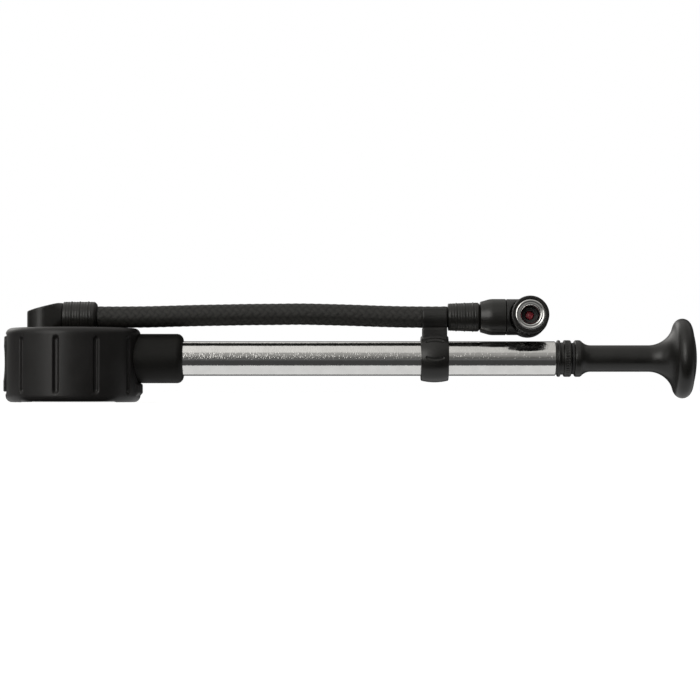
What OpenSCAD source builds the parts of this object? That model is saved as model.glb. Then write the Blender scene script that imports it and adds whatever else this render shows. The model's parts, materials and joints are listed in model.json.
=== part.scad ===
// High pressure hand pump: a gauge in a rubber boot, a polished barrel with a
// plunger, and a hose that lies along the barrel and ends in a screw-on valve head.
// X runs along the barrel towards the handle, Z is up, and the barrel axis is level.
// The origin is the middle of the pump's length, on the face that it rests on.

/* [Gauge housing] */
// Outside diameter of the gauge housing
housing_d = 52; // [51:0.5:56]
// Wall round the gauge movement
housing_wall = 3.5; // [3.2:0.1:4]
// Depth of the gauge below the barrel axis
gauge_depth = 17.4; // [17:0.1:20]
// Thickness of the deck that holds the air gallery
deck_t = 9.6; // [9.2:0.1:10]
// Diameter of the socket that holds the barrel
socket_d = 21.4; // [20.8:0.1:23]
// Radius round the mouth of the socket
socket_round = 2.8; // [1:0.1:2.9]
// How deep the barrel sits in its socket
socket_grip = 13.8; // [12:0.1:18]
// Height of the deck above the socket
deck_cover = 0.4; // [0.2:0.1:1]
// Diameter of the drilled air passages
air_d = 3; // [2:0.1:3.2]
// Depth of the cross passage below the top of the deck
gallery_depth = 5.1; // [4.9:0.1:5.2]

/* [Grip boot] */
// Wall of the rubber boot
boot_wall = 3; // [2.6:0.1:4]
// Height of the boot's rim above the deck
boot_rim = 2; // [1.6:0.1:2.1]
// Height of the boot's lip below the housing
boot_lip = 1.5; // [1.2:0.1:2.5]
// Radius round the boot's outer edges
boot_round = 2.8; // [1:0.1:3]
// Radius round the edges of the boot's rim
rim_round = 0.4; // [0.3:0.1:0.5]
// Depth of the relief between the boot's two feet
foot_relief = 0.3; // [0.2:0.1:0.8]
// Width of that relief
foot_relief_w = 40; // [30:1:46]
// Width of the rim that turns in over the deck
rim_w = 1; // [0.6:0.1:1.4]
// Number of upright grip grooves on each side
groove_count = 4; // [1:1:4]
// Width of a grip groove
groove_w = 2.9; // [2:0.1:3.5]
// Length of a grip groove
groove_len = 24.6; // [18:0.1:26]
// Angle between the barrel and the first groove
groove_turn = 30; // [29:0.5:34]
// Angle from one groove to the next
groove_step = 34; // [30:0.5:34.5]
// Width of the bulge below the socket
bulge_w = 17; // [10:1:20]
// How far the bulge stands out of the boot
bulge_out = 1; // [0.5:0.1:1.5]
// Height of the bulge
bulge_h = 5.2; // [4:0.1:5.6]

/* [Dial window] */
// Thickness of the lens
lens_t = 1.4; // [1:0.1:2]
// Width of the ledge that the lens sits on
lens_ledge = 0.9; // [0.6:0.1:1.4]
// Thickness of the gasket under the lens
gasket_t = 0.4; // [0.3:0.1:0.6]
// Thickness of the bezel ring under the lens
bezel_t = 0.8; // [0.6:0.1:1]
// Width of the bezel ring that covers the lens
bezel_cover = 1.4; // [1:0.1:2.5]

/* [Gauge movement] */
// Width across the brass block
block_w = 9; // [8:0.1:10]
// Length of the brass block
block_l = 8; // [7.5:0.1:9]
// Distance from the block's air port to the middle of the Bourdon tube
block_inset = 0.8; // [0.4:0.1:1]
// Mean radius of the Bourdon tube
bourdon_r = 15; // [14.8:0.1:16.5]
// Thickness of the flattened tube
bourdon_t = 1.6; // [1.4:0.1:1.8]
// Height of the flattened tube
bourdon_h = 4.5; // [4:0.1:5]
// Wall of the flattened tube
bourdon_wall = 0.4; // [0.3:0.05:0.5]
// Gap between the deck and the Bourdon tube
bourdon_drop = 2.5; // [2:0.1:3]
// Angle at which the tube ends in its free tip
bourdon_end = 277; // [272:1:284]
// Radius of the two movement plates
plate_r = 12.5; // [12.3:0.1:13.2]
// Thickness of the upper movement plate
back_plate_t = 0.8; // [0.6:0.1:1]
// Thickness of the lower movement plate
front_plate_t = 1; // [0.8:0.1:1.2]
// Distance between the two movement plates
plate_gap = 4.7; // [4.6:0.1:5.2]
// Gear module of the sector and pinion
gear_m = 0.3; // [0.28:0.01:0.3]
// Thickness of the sector
sector_t = 1.2; // [1:0.1:1.4]
// Length of the sector's tail
tail_len = 4; // [3.5:0.1:4.4]
// Diameter of the arbor that carries the needle
arbor_d = 1; // [0.8:0.1:1.2]
// Gap round the dial
dial_gap = 1; // [0.6:0.1:3]
// Thickness of the dial
dial_t = 0.5; // [0.4:0.1:0.7]
// Distance from the lower plate to the dial
dial_drop = 1.3; // [1:0.1:1.4]
// Length of the needle from its hub
needle_len = 17; // [12:0.5:18]
// Angle of the needle at zero pressure, from the barrel
needle_zero = 45; // [30:1:60]

/* [Bleed valve] */
// Width of the thumb button
button_w = 15; // [12:0.5:18]
// Height of the thumb button
button_h = 24; // [22:0.1:24.6]
// Thickness of the thumb button
button_t = 2; // [1.6:0.1:2.2]
// Depth of the dish in the thumb button
button_dish = 0.55; // [0.3:0.05:0.8]
// How far the button stands out of the boot
button_out = 0.9; // [0.6:0.1:1.2]
// How far the button can be pressed
button_travel = 1.5; // [1:0.1:1.5]
// Diameter of the bleed valve's bore
bleed_bore_d = 7; // [6.6:0.1:7.4]
// Diameter of the bleed stem
bleed_stem_d = 2.4; // [2:0.1:2.6]

/* [Check valve] */
// Diameter of the valve chamber
chamber_d = 10; // [9:0.1:11]
// Length of the valve chamber
chamber_len = 6; // [5.8:0.1:7]
// Thickness of the brass seat
seat_t = 3; // [2.6:0.1:3.2]
// Diameter of the rubber valve disc
disc_d = 5.2; // [4.6:0.1:6]
// Thickness of the rubber valve disc
disc_t = 1.3; // [1:0.1:1.4]

/* [Barrel] */
// Outside diameter of the barrel
barrel_d = 15; // [14.6:0.1:15.2]
// Wall of the barrel
barrel_wall = 1.5; // [1.2:0.1:1.6]
// Length of the barrel
barrel_len = 174.9; // [173.9:0.1:220]
// Chamfer at the open end of the barrel
barrel_chamfer = 0.3; // [0.2:0.1:0.6]

/* [End cap] */
// Length of the plug inside the barrel
plug_len = 12; // [8:0.5:16]
// Gap between the end of the barrel and the thin ring
cap_lip = 0.6; // [0.4:0.1:1]
// Diameter of the thin ring next to the barrel
cap_ring_d = 15.9; // [15.2:0.1:16.4]
// Width of the thin ring
cap_ring_w = 1.4; // [1:0.1:2]
// Diameter at the bottom of the grooves
cap_groove_d = 14; // [13:0.1:14.4]
// Width of the groove between the two rings
cap_groove_w = 1.4; // [1:0.1:2]
// Diameter of the knurled ring
cap_knurl_d = 15.9; // [15.2:0.1:16.6]
// Width of the knurled ring
cap_knurl_w = 3.3; // [3:0.1:5]
// Number of ribs on the knurled ring
cap_knurl_count = 40; // [24:1:48]

/* [Plunger] */
// Diameter of the piston rod
rod_d = 8; // [7:0.1:8.4]
// Length of the piston
piston_len = 13.2; // [12.6:0.1:16]
// Gap between the piston screw and the valve seat when the pump is closed
bottom_gap = 1; // [0.5:0.1:2]
// How far the rod reaches into the handle
rod_grip = 27; // [20:0.5:32]
// Gap between the end cap and the handle when the pump is closed
handle_gap = 1.3; // [1.1:0.1:2]
// Thickness of the rubber bumper in that gap
bumper_t = 1; // [0.6:0.1:1]
// Diameter of the rubber bumper
bumper_d = 13.6; // [12:0.1:14.4]

/* [Handle] */
// Diameter of the collar at the foot of the handle
handle_collar_d = 15.9; // [15:0.1:17]
// Width of that collar
handle_collar_w = 3.1; // [2.5:0.1:4]
// Radius of the hollow between the collar and the shaft
foot_r = 5.5; // [4.5:0.1:6]
// Length of that hollow
foot_len = 4.1; // [3.5:0.1:4.4]
// Diameter of the handle's shaft
shaft_d = 11.5; // [11:0.1:13]
// Length from the foot of the handle to the start of the flare
shaft_len = 32.2; // [31:0.1:50]
// Radius of the flare under the knob
flare_r = 11.5; // [9:0.1:13]
// Diameter of the knob
knob_d = 34.6; // [31:0.1:36]
// Radius of the knob's rounded rim
rim_r = 3.8; // [3:0.1:4.2]
// Height of the knob's domed end
crown_h = 2.1; // [1:0.1:4]

/* [Hose] */
// Outside diameter of the hose
hose_d = 9; // [8:0.1:9.2]
// Diameter of the ferrule at the gauge
ferrule_d = 13.2; // [12.4:0.1:13.6]
// Length of the ferrule at the gauge
ferrule_len = 14.5; // [12:0.1:16]
// Smaller diameter of the ferrule at the valve head
head_ferrule_small_d = 11.7; // [11.2:0.1:12]
// Larger diameter of the ferrule at the valve head
head_ferrule_d = 12.6; // [12.2:0.1:13]
// Length of the ferrule at the valve head
head_ferrule_len = 13.9; // [12:0.1:16]
// How far the rings stand out of the ferrules
ring_out = 0.2; // [0.1:0.05:0.3]
// Width of a ring
ring_w = 0.5; // [0.3:0.1:0.8]
// Distance from the foot of a ferrule to its first ring
ring_start = 3.3; // [2:0.1:4]
// Spacing of the rings on the ferrules
ring_pitch = 3.6; // [3:0.1:4]
// Chamfer at the far end of the ferrules
ferrule_chamfer = 1; // [0.4:0.1:1.2]

/* [Hose swivel] */
// Distance of the swivel from the side of the housing
swivel_inset = 13.4; // [13:0.1:13.8]
// Diameter of the swivel's round boss
swivel_d = 14.8; // [14.2:0.1:15.6]
// Length of the arm from the swivel to the ferrule
swivel_arm = 8.5; // [8:0.1:10]
// Height of the slanted top at its low end
swivel_low = 9.4; // [8.5:0.1:11]
// Height that the slant would reach at the ferrule
swivel_high = 13.5; // [12:0.1:13.6]
// How far the arm's end lies inside the ferrule's edge
swivel_step = 0.5; // [0.2:0.1:0.8]
// Diameter of the swivel's stem in the deck
stem_d = 8; // [7.4:0.1:8.2]
// Gap under the swivel's boss
swivel_gap = 0.15; // [0.1:0.05:0.3]

/* [Hose clip] */
// Width of the ring on the barrel
clip_ring_w = 12; // [11:0.1:14]
// Thickness of the ring at its middle
clip_ring_t = 2.8; // [2.2:0.05:3]
// Width of the hook that holds the hose
clip_hook_w = 10.7; // [9:0.1:10.8]
// Thickness of the hook
clip_hook_t = 1.6; // [1.2:0.1:1.8]
// Height of the hook's tip above the hose axis
clip_tip = 3.8; // [3:0.1:4.2]

/* [Valve head] */
// Diameter of the swivel nut
nut_d = 15.7; // [15:0.1:16.4]
// Length of the swivel nut
nut_len = 11.1; // [10:0.1:13]
// Length of the cone on the swivel nut
nut_cone = 4.3; // [3:0.1:5]
// Diameter of the head's neck
neck_d = 15.6; // [15:0.1:16.4]
// Diameter of the head's round body
head_d = 17.2; // [16.8:0.1:17.4]
// Distance from the seam to the middle of the round body
head_reach = 9.6; // [9:0.1:11]
// How far the round body reaches in front of the hose axis
head_front = 4.2; // [4:0.1:4.5]
// Largest radius of the body about the hose axis
head_sweep = 10.1; // [9.9:0.05:10.1]
// How far the body reaches behind the hose axis
head_back = 9.2; // [8:0.1:9.6]
// Angle by which the stowed head is turned up
head_turn = 3.5; // [0:0.5:12]
// Diameter of the nipple's spigot inside the head
spigot_d = 6.2; // [5.8:0.1:6.4]
// How far the spigot reaches into the head
spigot_len = 5.4; // [5:0.1:6]
// How far the spigot reaches back into the nut
spigot_seat = 3; // [2:0.1:5]

/* [Chuck] */
// Diameter of the knurled collar
collar_d = 16.2; // [15.8:0.1:17]
// How far the collar reaches in front of the hose axis
collar_front = 13.5; // [13:0.1:15]
// Number of ribs on the collar
collar_ribs = 30; // [18:1:36]
// Outside diameter of the threaded insert
insert_d = 13.2; // [12.6:0.1:13.4]
// How far the insert stands out of the collar
insert_proud = 0.2; // [0.1:0.1:0.5]
// Diameter of the thread for the tyre valve
thread_d = 7.7; // [7.5:0.1:8]
// Length of that thread
thread_len = 5.5; // [5:0.1:6]
// Distance from the bottom of the thread to the post under it
thread_gap = 1.1; // [1:0.1:1.4]
// Diameter of the post that the collar turns on
post_d = 10.8; // [10.4:0.1:11]
// Diameter of the red pusher
pusher_d = 3.4; // [2.6:0.1:3.6]
// How far the pusher stands out of the post
pusher_out = 1.1; // [0.8:0.1:1.5]

/* [Clearances] */
// Radial clearance of fixed pieces in their seats
seat_gap = 0.05; // [0.03:0.01:0.1]
// Radial clearance of moving pieces on their bearings
run_gap = 0.05; // [0.03:0.01:0.08]
// Clearance between pieces that pass each other
pass_gap = 0.3; // [0.25:0.05:0.4]

/* [Hidden] */
$fn = 64;

// Heights, from the barrel axis
housing_r = housing_d / 2;
socket_r = socket_d / 2;
air_r = air_d / 2;
deck_top = socket_r + deck_cover;
deck_bottom = deck_top - deck_t;
housing_bottom = -gauge_depth;
boot_bottom = housing_bottom - boot_lip;
boot_top = deck_top + boot_rim;
boot_middle = (boot_top + boot_bottom) / 2;
gallery_z = deck_top - gallery_depth;
hose_z = deck_top + swivel_gap + 0.1 + ferrule_d / 2;

// Small sizes that several pieces share
ring_c = 0.5;
ring_groove = 2 * ring_c + 0.1;
ring_half_w = ring_c + 0.25;
nipple_r = 2.4;
nipple_bore_r = 1.4;
nipple_gap = 1.5;
small_screw_r = 0.6;

// Sizes of the gauge
boot_r = housing_r + seat_gap + boot_wall;
boot_hole_r = housing_r + seat_gap;
rim_hole_r = housing_r - rim_w;
cavity_r = housing_r - housing_wall;
lens_r = cavity_r + lens_ledge;
lens_proud = 0.4;
lens_seat_z = housing_bottom + lens_t + gasket_t - lens_proud;
lens_top = lens_seat_z - gasket_t;
lens_bottom = lens_top - lens_t;
bezel_r = rim_hole_r - 0.1;
bezel_hole_r = lens_r - bezel_cover;

// Levels of the gauge movement
bourdon_top = deck_bottom - bourdon_drop;
bourdon_bottom = bourdon_top - bourdon_h;
back_plate_top = bourdon_bottom - 0.6;
back_plate_bottom = back_plate_top - back_plate_t;
front_plate_top = back_plate_bottom - plate_gap;
front_plate_bottom = front_plate_top - front_plate_t;
dial_top = front_plate_bottom - dial_drop;
dial_bottom = dial_top - dial_t;
needle_top = dial_bottom - 0.6;
needle_t = 0.4;
needle_tail = 6;
hub_r = 2;
hub_t = 0.7;
hub_bottom = needle_top - hub_t;
sector_top = back_plate_bottom - 1.5;
sector_bottom = sector_top - sector_t;
link_t = 0.6;
link_bottom = sector_top + pass_gap;
link_top = link_bottom + link_t;
pinion_h = sector_t + 1;
spring_level = front_plate_top + 0.4;

// Teeth on the pinion, and on a whole wheel of the sector's size
pinion_teeth = 12;
sector_teeth = 60;

// Places in the gauge movement
pinion_r = gear_m * pinion_teeth / 2;
sector_r = gear_m * sector_teeth / 2;
sector_angle = 235;
sector_reach = pinion_r + sector_r;
sector_pivot = sector_reach * [cos(sector_angle), sin(sector_angle)];
sector_count = 13;
sector_pitch = 360 / sector_teeth;
sector_first = sector_angle - 180 - 1.5 * sector_pitch;
sector_middle = sector_first + sector_pitch * (sector_count - 1) / 2;
tail_angle = sector_middle + 180;
tail_point = sector_pivot + tail_len * [cos(tail_angle), sin(tail_angle)];
tip_point = bourdon_r * [cos(bourdon_end - 3), sin(bourdon_end - 3)];
pivot_pin_r = 0.6;
block_x = bourdon_r - block_inset;
link_pin_r = 0.4;
pillar_points = [[8.3, -7.6], [-7.5, 8]];
dial_screw_points = [[0, 9], [4.5, -10]];
block_screw_points = [[block_x - 2.3, 3], [block_x, -3]];
block_screw_r = 0.9;
block_screw_reach = 3.8;

// Places along the barrel, from the gauge axis
riser_x = housing_r;
chamber_x = riser_x + 2;
barrel_x = chamber_x + chamber_len;
socket_x = barrel_x + socket_grip;
barrel_r = barrel_d / 2;
bore_r = barrel_r - barrel_wall;
cap_x = barrel_x + barrel_len;
ring_x = cap_x + cap_lip;
knurl_x = ring_x + cap_ring_w + cap_groove_w;
cap_end_x = knurl_x + cap_knurl_w;
plug_x = cap_x - plug_len;
barrel_seal_c = 0.72;
barrel_seal_r = barrel_r + seat_gap + barrel_seal_c;
barrel_seal_x = socket_x - 4.8;
handle_x = cap_end_x + handle_gap;
flare_x = handle_x + shaft_len;
shaft_r = shaft_d / 2;
flare_center_r = shaft_r + flare_r;
rim_center_r = knob_d / 2 - rim_r;
flare_reach = flare_r + rim_r;
rim_rise = flare_center_r - rim_center_r;
rim_x = flare_x + sqrt(flare_reach * flare_reach - rim_rise * rim_rise);
rim_end_x = rim_x + rim_r;
handle_end_x = rim_end_x + crown_h;
crown_r = (rim_center_r * rim_center_r + crown_h * crown_h) / (2 * crown_h);
button_x = -(boot_r + button_out);

// Places of the plunger, with the pump closed
rod_r = rod_d / 2;
screw_x = barrel_x + bottom_gap;
screw_head_t = 1.4;
screw_head_r = 2.6;
screw_r = 1.5;
screw_grip = 8;
piston_x = screw_x + 1.6;
piston_end_x = piston_x + piston_len;
piston_r = bore_r - 0.1;
rod_seat = 6;
rod_x = piston_end_x - rod_seat;
cup_hub_r = 2.8;
cup_len = 2.7;
slide_ring_x = piston_x + 4.5;
slide_ring_w = 3;
slide_ring_t = 0.8;
wiper_w = 1.4;
wiper_len = 2.3;
rod_end_x = handle_x + rod_grip;

// Route of the hose: distance from the ferrule and rise above the hose axis
hose_route = [
  [0, 0], [11, 0], [22, 0.1], [33, 0.4], [44, 0.7], [55, 0.9], [66, 1.1], [77, 1.2],
  [88, 1.3], [99, 1.1], [110, 0.8], [121, 0.4], [132, 0.1], [142, 0], [152, 0]
];

// Places along the hose axis
swivel_x = -(housing_r - swivel_inset);
swivel_r = swivel_d / 2;
stem_r = stem_d / 2;
ferrule_x = swivel_x + swivel_arm;
hose_x = ferrule_x + ferrule_len;
hose_end_x = hose_x + hose_route[len(hose_route) - 1][0];
nut_x = hose_end_x + head_ferrule_len;
seam_x = nut_x + nut_len;
seam_gap = 0.2;
head_x = seam_x + seam_gap + head_reach;
spigot_r = spigot_d / 2;
head_seal_x = seam_x + 3.15;
swivel_seal_levels = [gallery_z - 2.9, gallery_z + 2.9];
swivel_clip_t = 0.8;
swivel_groove = 0.8;

// Places in the bleed valve
guide_r = 1.5;
guide_drop = 10.5;
guide_len = 6;
guide_wall = 1.4;
guide_z = deck_bottom - guide_drop;
guide_end_x = -housing_r + guide_len;
bleed_inner_x = swivel_x - stem_r - 1.9;
bleed_seat_t = 2.5;
bleed_seat_x = -housing_r + 0.4;
poppet_x = bleed_seat_x + bleed_seat_t;
poppet_t = 1;
poppet_r = bleed_bore_d / 2 - 0.9;
button_z = boot_middle + 0.55;
button_inner_r = boot_r + button_out - button_t;

// Levels in the chuck, in front of the hose axis
collar_back = head_front + pass_gap;
insert_front = collar_front + insert_proud;
insert_back = insert_front - thread_len;
post_front = insert_back - thread_gap;
post_r = post_d / 2;
post_groove = 0.6;
post_groove_front = post_front - 0.6;
post_groove_back = post_front - 1.4;
chuck_seal_t = 0.7;
chuck_seal_r = 3.6;
pusher_r = pusher_d / 2;
pusher_flange = 0.55;
pusher_flange_t = 1.1;

// The middle of the pump's length and the face that it rests on
pump_shift = [-(handle_end_x + button_x) / 2, 0, -boot_bottom];

rubber = "#2e2e30";
plastic = "#232426";
brass = "#c8a451";
steel = "#9aa0a6";
chrome = "#d9dcdf";
aluminium = "#cfd2d4";

// Puts a piece drawn about the gauge axis and the barrel axis in its place
module placed() {
  translate(pump_shift)
    children();
}

// Turns an outline of radius and distance about the barrel axis
module turned() {
  rotate([0, 90, 0])
    rotate_extrude()
      children();
}

// A piece that is drawn about the hose axis
module on_hose() {
  translate([0, 0, hose_z])
    children();
}

// A piece of the valve head, drawn about the middle of its round body
module on_head() {
  translate([head_x, 0, hose_z])
    rotate([-head_turn, 0, 0])
      children();
}

// A rod of radius r along the chuck's axis, between two levels in front of the hose axis
module chuck_rod(r, back, front) {
  translate([0, -front, 0])
    rotate([-90, 0, 0])
      cylinder(r = r, h = front - back);
}

// A ring along the chuck's axis
module chuck_ring(r_in, r_out, back, front) {
  difference() {
    chuck_rod(r_out, back, front);
    chuck_rod(r_in, back - 1, front + 1);
  }
}

// A rectangle of an outline, from radius r1 to r2 and from a1 to a2 along the axis
module band(r1, r2, a1, a2) {
  translate([r1, a1])
    square([r2 - r1, a2 - a1]);
}

// The same with its four corners rounded
module soft_band(r1, r2, a1, a2, round) {
  band(r1 + round, r2 - round, a1, a2);
  band(r1, r2, a1 + round, a2 - round);
  for (r = [r1 + round, r2 - round], a = [a1 + round, a2 - round])
    translate([r, a])
      circle(r = round);
}

// An upright rod between two heights
module upright(r, low, high) {
  translate([0, 0, low])
    cylinder(r = r, h = high - low);
}

// A rod along X between two distances
module along(r, x1, x2) {
  translate([x1, 0, 0])
    rotate([0, 90, 0])
      cylinder(r = r, h = x2 - x1);
}

// A rubber ring of cord radius c about the upright axis
module o_ring(r, c) {
  rotate_extrude()
    translate([r, 0])
      circle(r = c, $fn = 32);
}

// The same about the barrel axis
module o_ring_along(r, c) {
  rotate([0, 90, 0])
    o_ring(r, c);
}

// Points of a ring of the swept tube about one point of its path
function unit(v) = v / norm(v);
function path_direction(path, i) =
  unit(path[min(i + 1, len(path) - 1)] - path[max(i - 1, 0)]);
function sweep_ring(center, along, side, r, sides) =
  let (a = unit(side - (side * along) * along), b = cross(along, a))
  [for (k = [0:sides - 1]) center + r * (cos(360 * k / sides) * a + sin(360 * k / sides) * b)];

// A tube along a path: side_at gives the direction that each ring starts from
module swept_tube(path, side_at, r, sides) {
  rings = len(path);
  points = [
    for (i = [0:rings - 1])
      each sweep_ring(path[i], path_direction(path, i), side_at[i], r, sides)
  ];
  faces = [
    [for (k = [0:sides - 1]) k],
    [for (k = [sides - 1:-1:0]) (rings - 1) * sides + k],
    for (i = [0:rings - 2], k = [0:sides - 1])
      each let (n = (k + 1) % sides, a = i * sides, b = a + sides)
        [[a + k, b + k, b + n], [a + k, b + n, a + n]]
  ];
  polyhedron(points = points, faces = faces);
}

// A spring along X that starts at x1 and ends at x2
module coil_spring(x1, x2, r, wire_r, turns) {
  steps = 8 * turns;
  rise = x2 - x1 - 2 * wire_r;
  path = [
    for (i = [0:steps])
      [x1 + wire_r + rise * i / steps, r * cos(45 * i), r * sin(45 * i)]
  ];
  sides = [for (i = [0:steps]) [0, cos(45 * i), sin(45 * i)]];
  swept_tube(path, sides, wire_r, 6);
}

// Outline of a toothed arc: count teeth, the first one at angle start
function tooth(a, pitch, root, tip) = [
  root * [cos(a - 0.25 * pitch), sin(a - 0.25 * pitch)],
  tip * [cos(a - 0.1 * pitch), sin(a - 0.1 * pitch)],
  tip * [cos(a + 0.1 * pitch), sin(a + 0.1 * pitch)],
  root * [cos(a + 0.25 * pitch), sin(a + 0.25 * pitch)]
];
function toothed_arc(count, start, pitch, r) = [
  for (i = [0:count - 1])
    each tooth(start + pitch * i, pitch, r - 1.3 * gear_m, r + 0.9 * gear_m)
];

module gauge_housing() {
  color(plastic)
    placed() {
      difference() {
        union() {
          upright(housing_r, housing_bottom, deck_top);
          turned() {
            band(0, socket_r, cavity_r - 1, socket_x - socket_round);
            band(0, socket_r - socket_round, cavity_r - 1, socket_x);
            translate([socket_r - socket_round, socket_x - socket_round])
              circle(r = socket_round);
          }
        }
        upright(cavity_r, housing_bottom - 1, deck_bottom);
        upright(lens_r + seat_gap, housing_bottom - 1, lens_seat_z);
        turned() {
          band(0, barrel_r + seat_gap, barrel_x, socket_x + 1);
          band(0, chamber_d / 2, chamber_x, barrel_x + 1);
          band(0, air_r, riser_x, chamber_x + 1);
          band(
            0, barrel_seal_r + barrel_seal_c + seat_gap,
            barrel_seal_x - barrel_seal_c - pass_gap, barrel_seal_x + barrel_seal_c + pass_gap
          );
        }
        translate([riser_x, 0, 0])
          upright(air_r, 0, gallery_z);
        translate([0, 0, gallery_z])
          along(air_r, bleed_inner_x - 1, riser_x);
        translate([block_x, 0, 0])
          upright(air_r, deck_bottom - 1, gallery_z);
        translate([swivel_x, 0, 0])
          upright(stem_r + run_gap, deck_bottom - 1, deck_top + 1);
        translate([0, 0, gallery_z])
          along(bleed_bore_d / 2, -housing_r - 1, bleed_inner_x);
        for (p = block_screw_points)
          translate([p[0], p[1], 0])
            upright(block_screw_r + seat_gap, deck_bottom - 1, deck_bottom + block_screw_reach + 0.2);
        translate([0, 0, guide_z])
          along(guide_r + run_gap, -housing_r - 1, guide_end_x);
      }
      difference() {
        translate([0, 0, guide_z])
          along(guide_r + guide_wall, -housing_r + 1.2, guide_end_x + 1);
        translate([0, 0, guide_z])
          along(guide_r + run_gap, -housing_r, guide_end_x);
      }
    }
}

module grip_boot() {
  window_gap = 0.5;
  color(rubber)
    placed()
      difference() {
        union() {
          rotate_extrude()
            difference() {
              union() {
                band(rim_hole_r + rim_round, boot_r - boot_round, boot_bottom, boot_top);
                band(rim_hole_r, boot_r - boot_round, boot_bottom + rim_round, boot_top - rim_round);
                band(rim_hole_r, boot_r, boot_bottom + boot_round, boot_top - boot_round);
                for (z = [boot_bottom + rim_round, boot_top - rim_round])
                  translate([rim_hole_r + rim_round, z])
                    circle(r = rim_round);
                for (z = [boot_bottom + boot_round, boot_top - boot_round])
                  translate([boot_r - boot_round, z])
                    circle(r = boot_round);
              }
              band(0, rim_hole_r, boot_bottom, boot_top);
              band(0, boot_hole_r, housing_bottom, deck_top);
            }
          intersection() {
            rotate_extrude()
              soft_band(boot_hole_r + 0.5, boot_r + bulge_out, -socket_r - bulge_h, -socket_r, 0.8);
            translate([0, -bulge_w / 2, boot_bottom])
              cube([2 * boot_r, bulge_w, boot_top - boot_bottom]);
          }
        }
        for (way = [-1, 1], i = [0:groove_count - 1])
          rotate(way * (groove_turn + groove_step * i))
            translate([boot_r + 0.1, 0, boot_middle]) {
              cylinder(d = groove_w, h = groove_len - groove_w, center = true);
              for (side = [-1, 1])
                translate([0, 0, side * (groove_len - groove_w) / 2])
                  sphere(d = groove_w);
            }
        translate([-foot_relief_w / 2, -2 * housing_r, boot_bottom - 1])
          cube([foot_relief_w, 4 * housing_r, foot_relief + 1]);
        along(socket_r + seat_gap, 0.5 * housing_r, 2 * housing_r);
        translate([-2 * housing_r, -button_w / 2 - window_gap, button_z - button_h / 2 - window_gap])
          cube([1.2 * housing_r, button_w + 2 * window_gap, button_h + 2 * window_gap]);
      }
}

module bezel_ring() {
  color(steel)
    placed()
      rotate_extrude() {
        band(bezel_hole_r, bezel_r, lens_bottom - bezel_t, lens_bottom);
        band(lens_r + seat_gap, bezel_r, lens_bottom - 0.1, housing_bottom);
      }
}

module lens() {
  color("lightcyan", 0.4)
    placed()
      upright(lens_r, lens_bottom, lens_top);
}

module lens_gasket() {
  color(rubber)
    placed()
      rotate_extrude()
        band(cavity_r + 0.1, lens_r, lens_top, lens_seat_z);
}

module dial_face() {
  color("white")
    placed()
      difference() {
        upright(cavity_r - dial_gap, dial_bottom, dial_top);
        upright(1.5, dial_bottom - 1, dial_top + 1);
        for (p = dial_screw_points)
          translate([p[0], p[1], 0])
            upright(small_screw_r + seat_gap, dial_bottom - 1, dial_top + 1);
      }
}

module dial_screws() {
  color(steel)
    placed()
      for (p = dial_screw_points)
        translate([p[0], p[1], 0]) {
          upright(small_screw_r, dial_bottom - 0.1, front_plate_bottom + 0.2);
          upright(1, dial_bottom - 0.3, dial_bottom);
        }
}

module needle() {
  color("crimson")
    placed()
      rotate(needle_zero)
        difference() {
          union() {
            translate([0, 0, needle_top - needle_t])
              linear_extrude(needle_t)
                polygon([[-needle_tail, -0.9], [-needle_tail, 0.9], [needle_len, 0.2], [needle_len, -0.2]]);
            upright(hub_r, hub_bottom, needle_top);
          }
          upright(arbor_d / 2 + 0.01, hub_bottom + 0.3, needle_top + 1);
        }
}

module pinion_arbor() {
  color(brass)
    placed() {
      upright(arbor_d / 2, hub_bottom + 0.3, back_plate_top);
      translate([0, 0, sector_bottom - 0.5])
        linear_extrude(pinion_h)
          polygon(toothed_arc(pinion_teeth, sector_angle, 360 / pinion_teeth, pinion_r));
    }
}

module sector_gear() {
  color(brass)
    placed()
      translate([sector_pivot[0], sector_pivot[1], sector_bottom]) {
        difference() {
          union() {
            linear_extrude(sector_t)
              polygon(concat(
                toothed_arc(sector_count, sector_first, sector_pitch, sector_r),
                [1.4 * [cos(sector_middle + 90), sin(sector_middle + 90)],
                 1.4 * [cos(sector_middle - 90), sin(sector_middle - 90)]]
              ));
            cylinder(r = 1.7, h = sector_t);
            rotate(tail_angle)
              translate([0, -0.9, 0])
                cube([tail_len, 1.8, sector_t]);
            rotate(tail_angle)
              translate([tail_len, 0, 0])
                cylinder(r = 0.9, h = sector_t);
          }
          rotate(tail_angle)
            translate([tail_len, 0, -1])
              cylinder(r = link_pin_r + run_gap, h = sector_t + 2);
        }
        translate([0, 0, front_plate_bottom + 0.2 - sector_bottom])
          cylinder(r = pivot_pin_r, h = back_plate_top - 0.2 - front_plate_bottom);
      }
}

module gauge_link() {
  reach = tip_point - tail_point;
  color(steel)
    placed()
      translate([tail_point[0], tail_point[1], link_bottom])
        rotate(atan2(reach[1], reach[0])) {
          translate([0, -0.7, 0])
            cube([norm(reach), 1.4, link_t]);
          for (x = [0, norm(reach)])
            translate([x, 0, 0])
              cylinder(r = 0.9, h = link_t);
          translate([0, 0, -pass_gap - sector_t])
            cylinder(r = link_pin_r, h = pass_gap + sector_t + 0.1);
        }
}

module hairspring() {
  turns = 3;
  steps = 24 * turns;
  inner_r = 1.2;
  spread = 3.4;
  wide = 0.15;
  function spiral(i, shift) =
    (inner_r + shift + spread * i / steps) * [cos(15 * i), sin(15 * i)];
  color(brass)
    placed()
      translate([0, 0, spring_level])
        linear_extrude(0.5)
          polygon(concat(
            [for (i = [0:steps]) spiral(i, 0)],
            [for (i = [steps:-1:0]) spiral(i, wide)]
          ));
}

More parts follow.
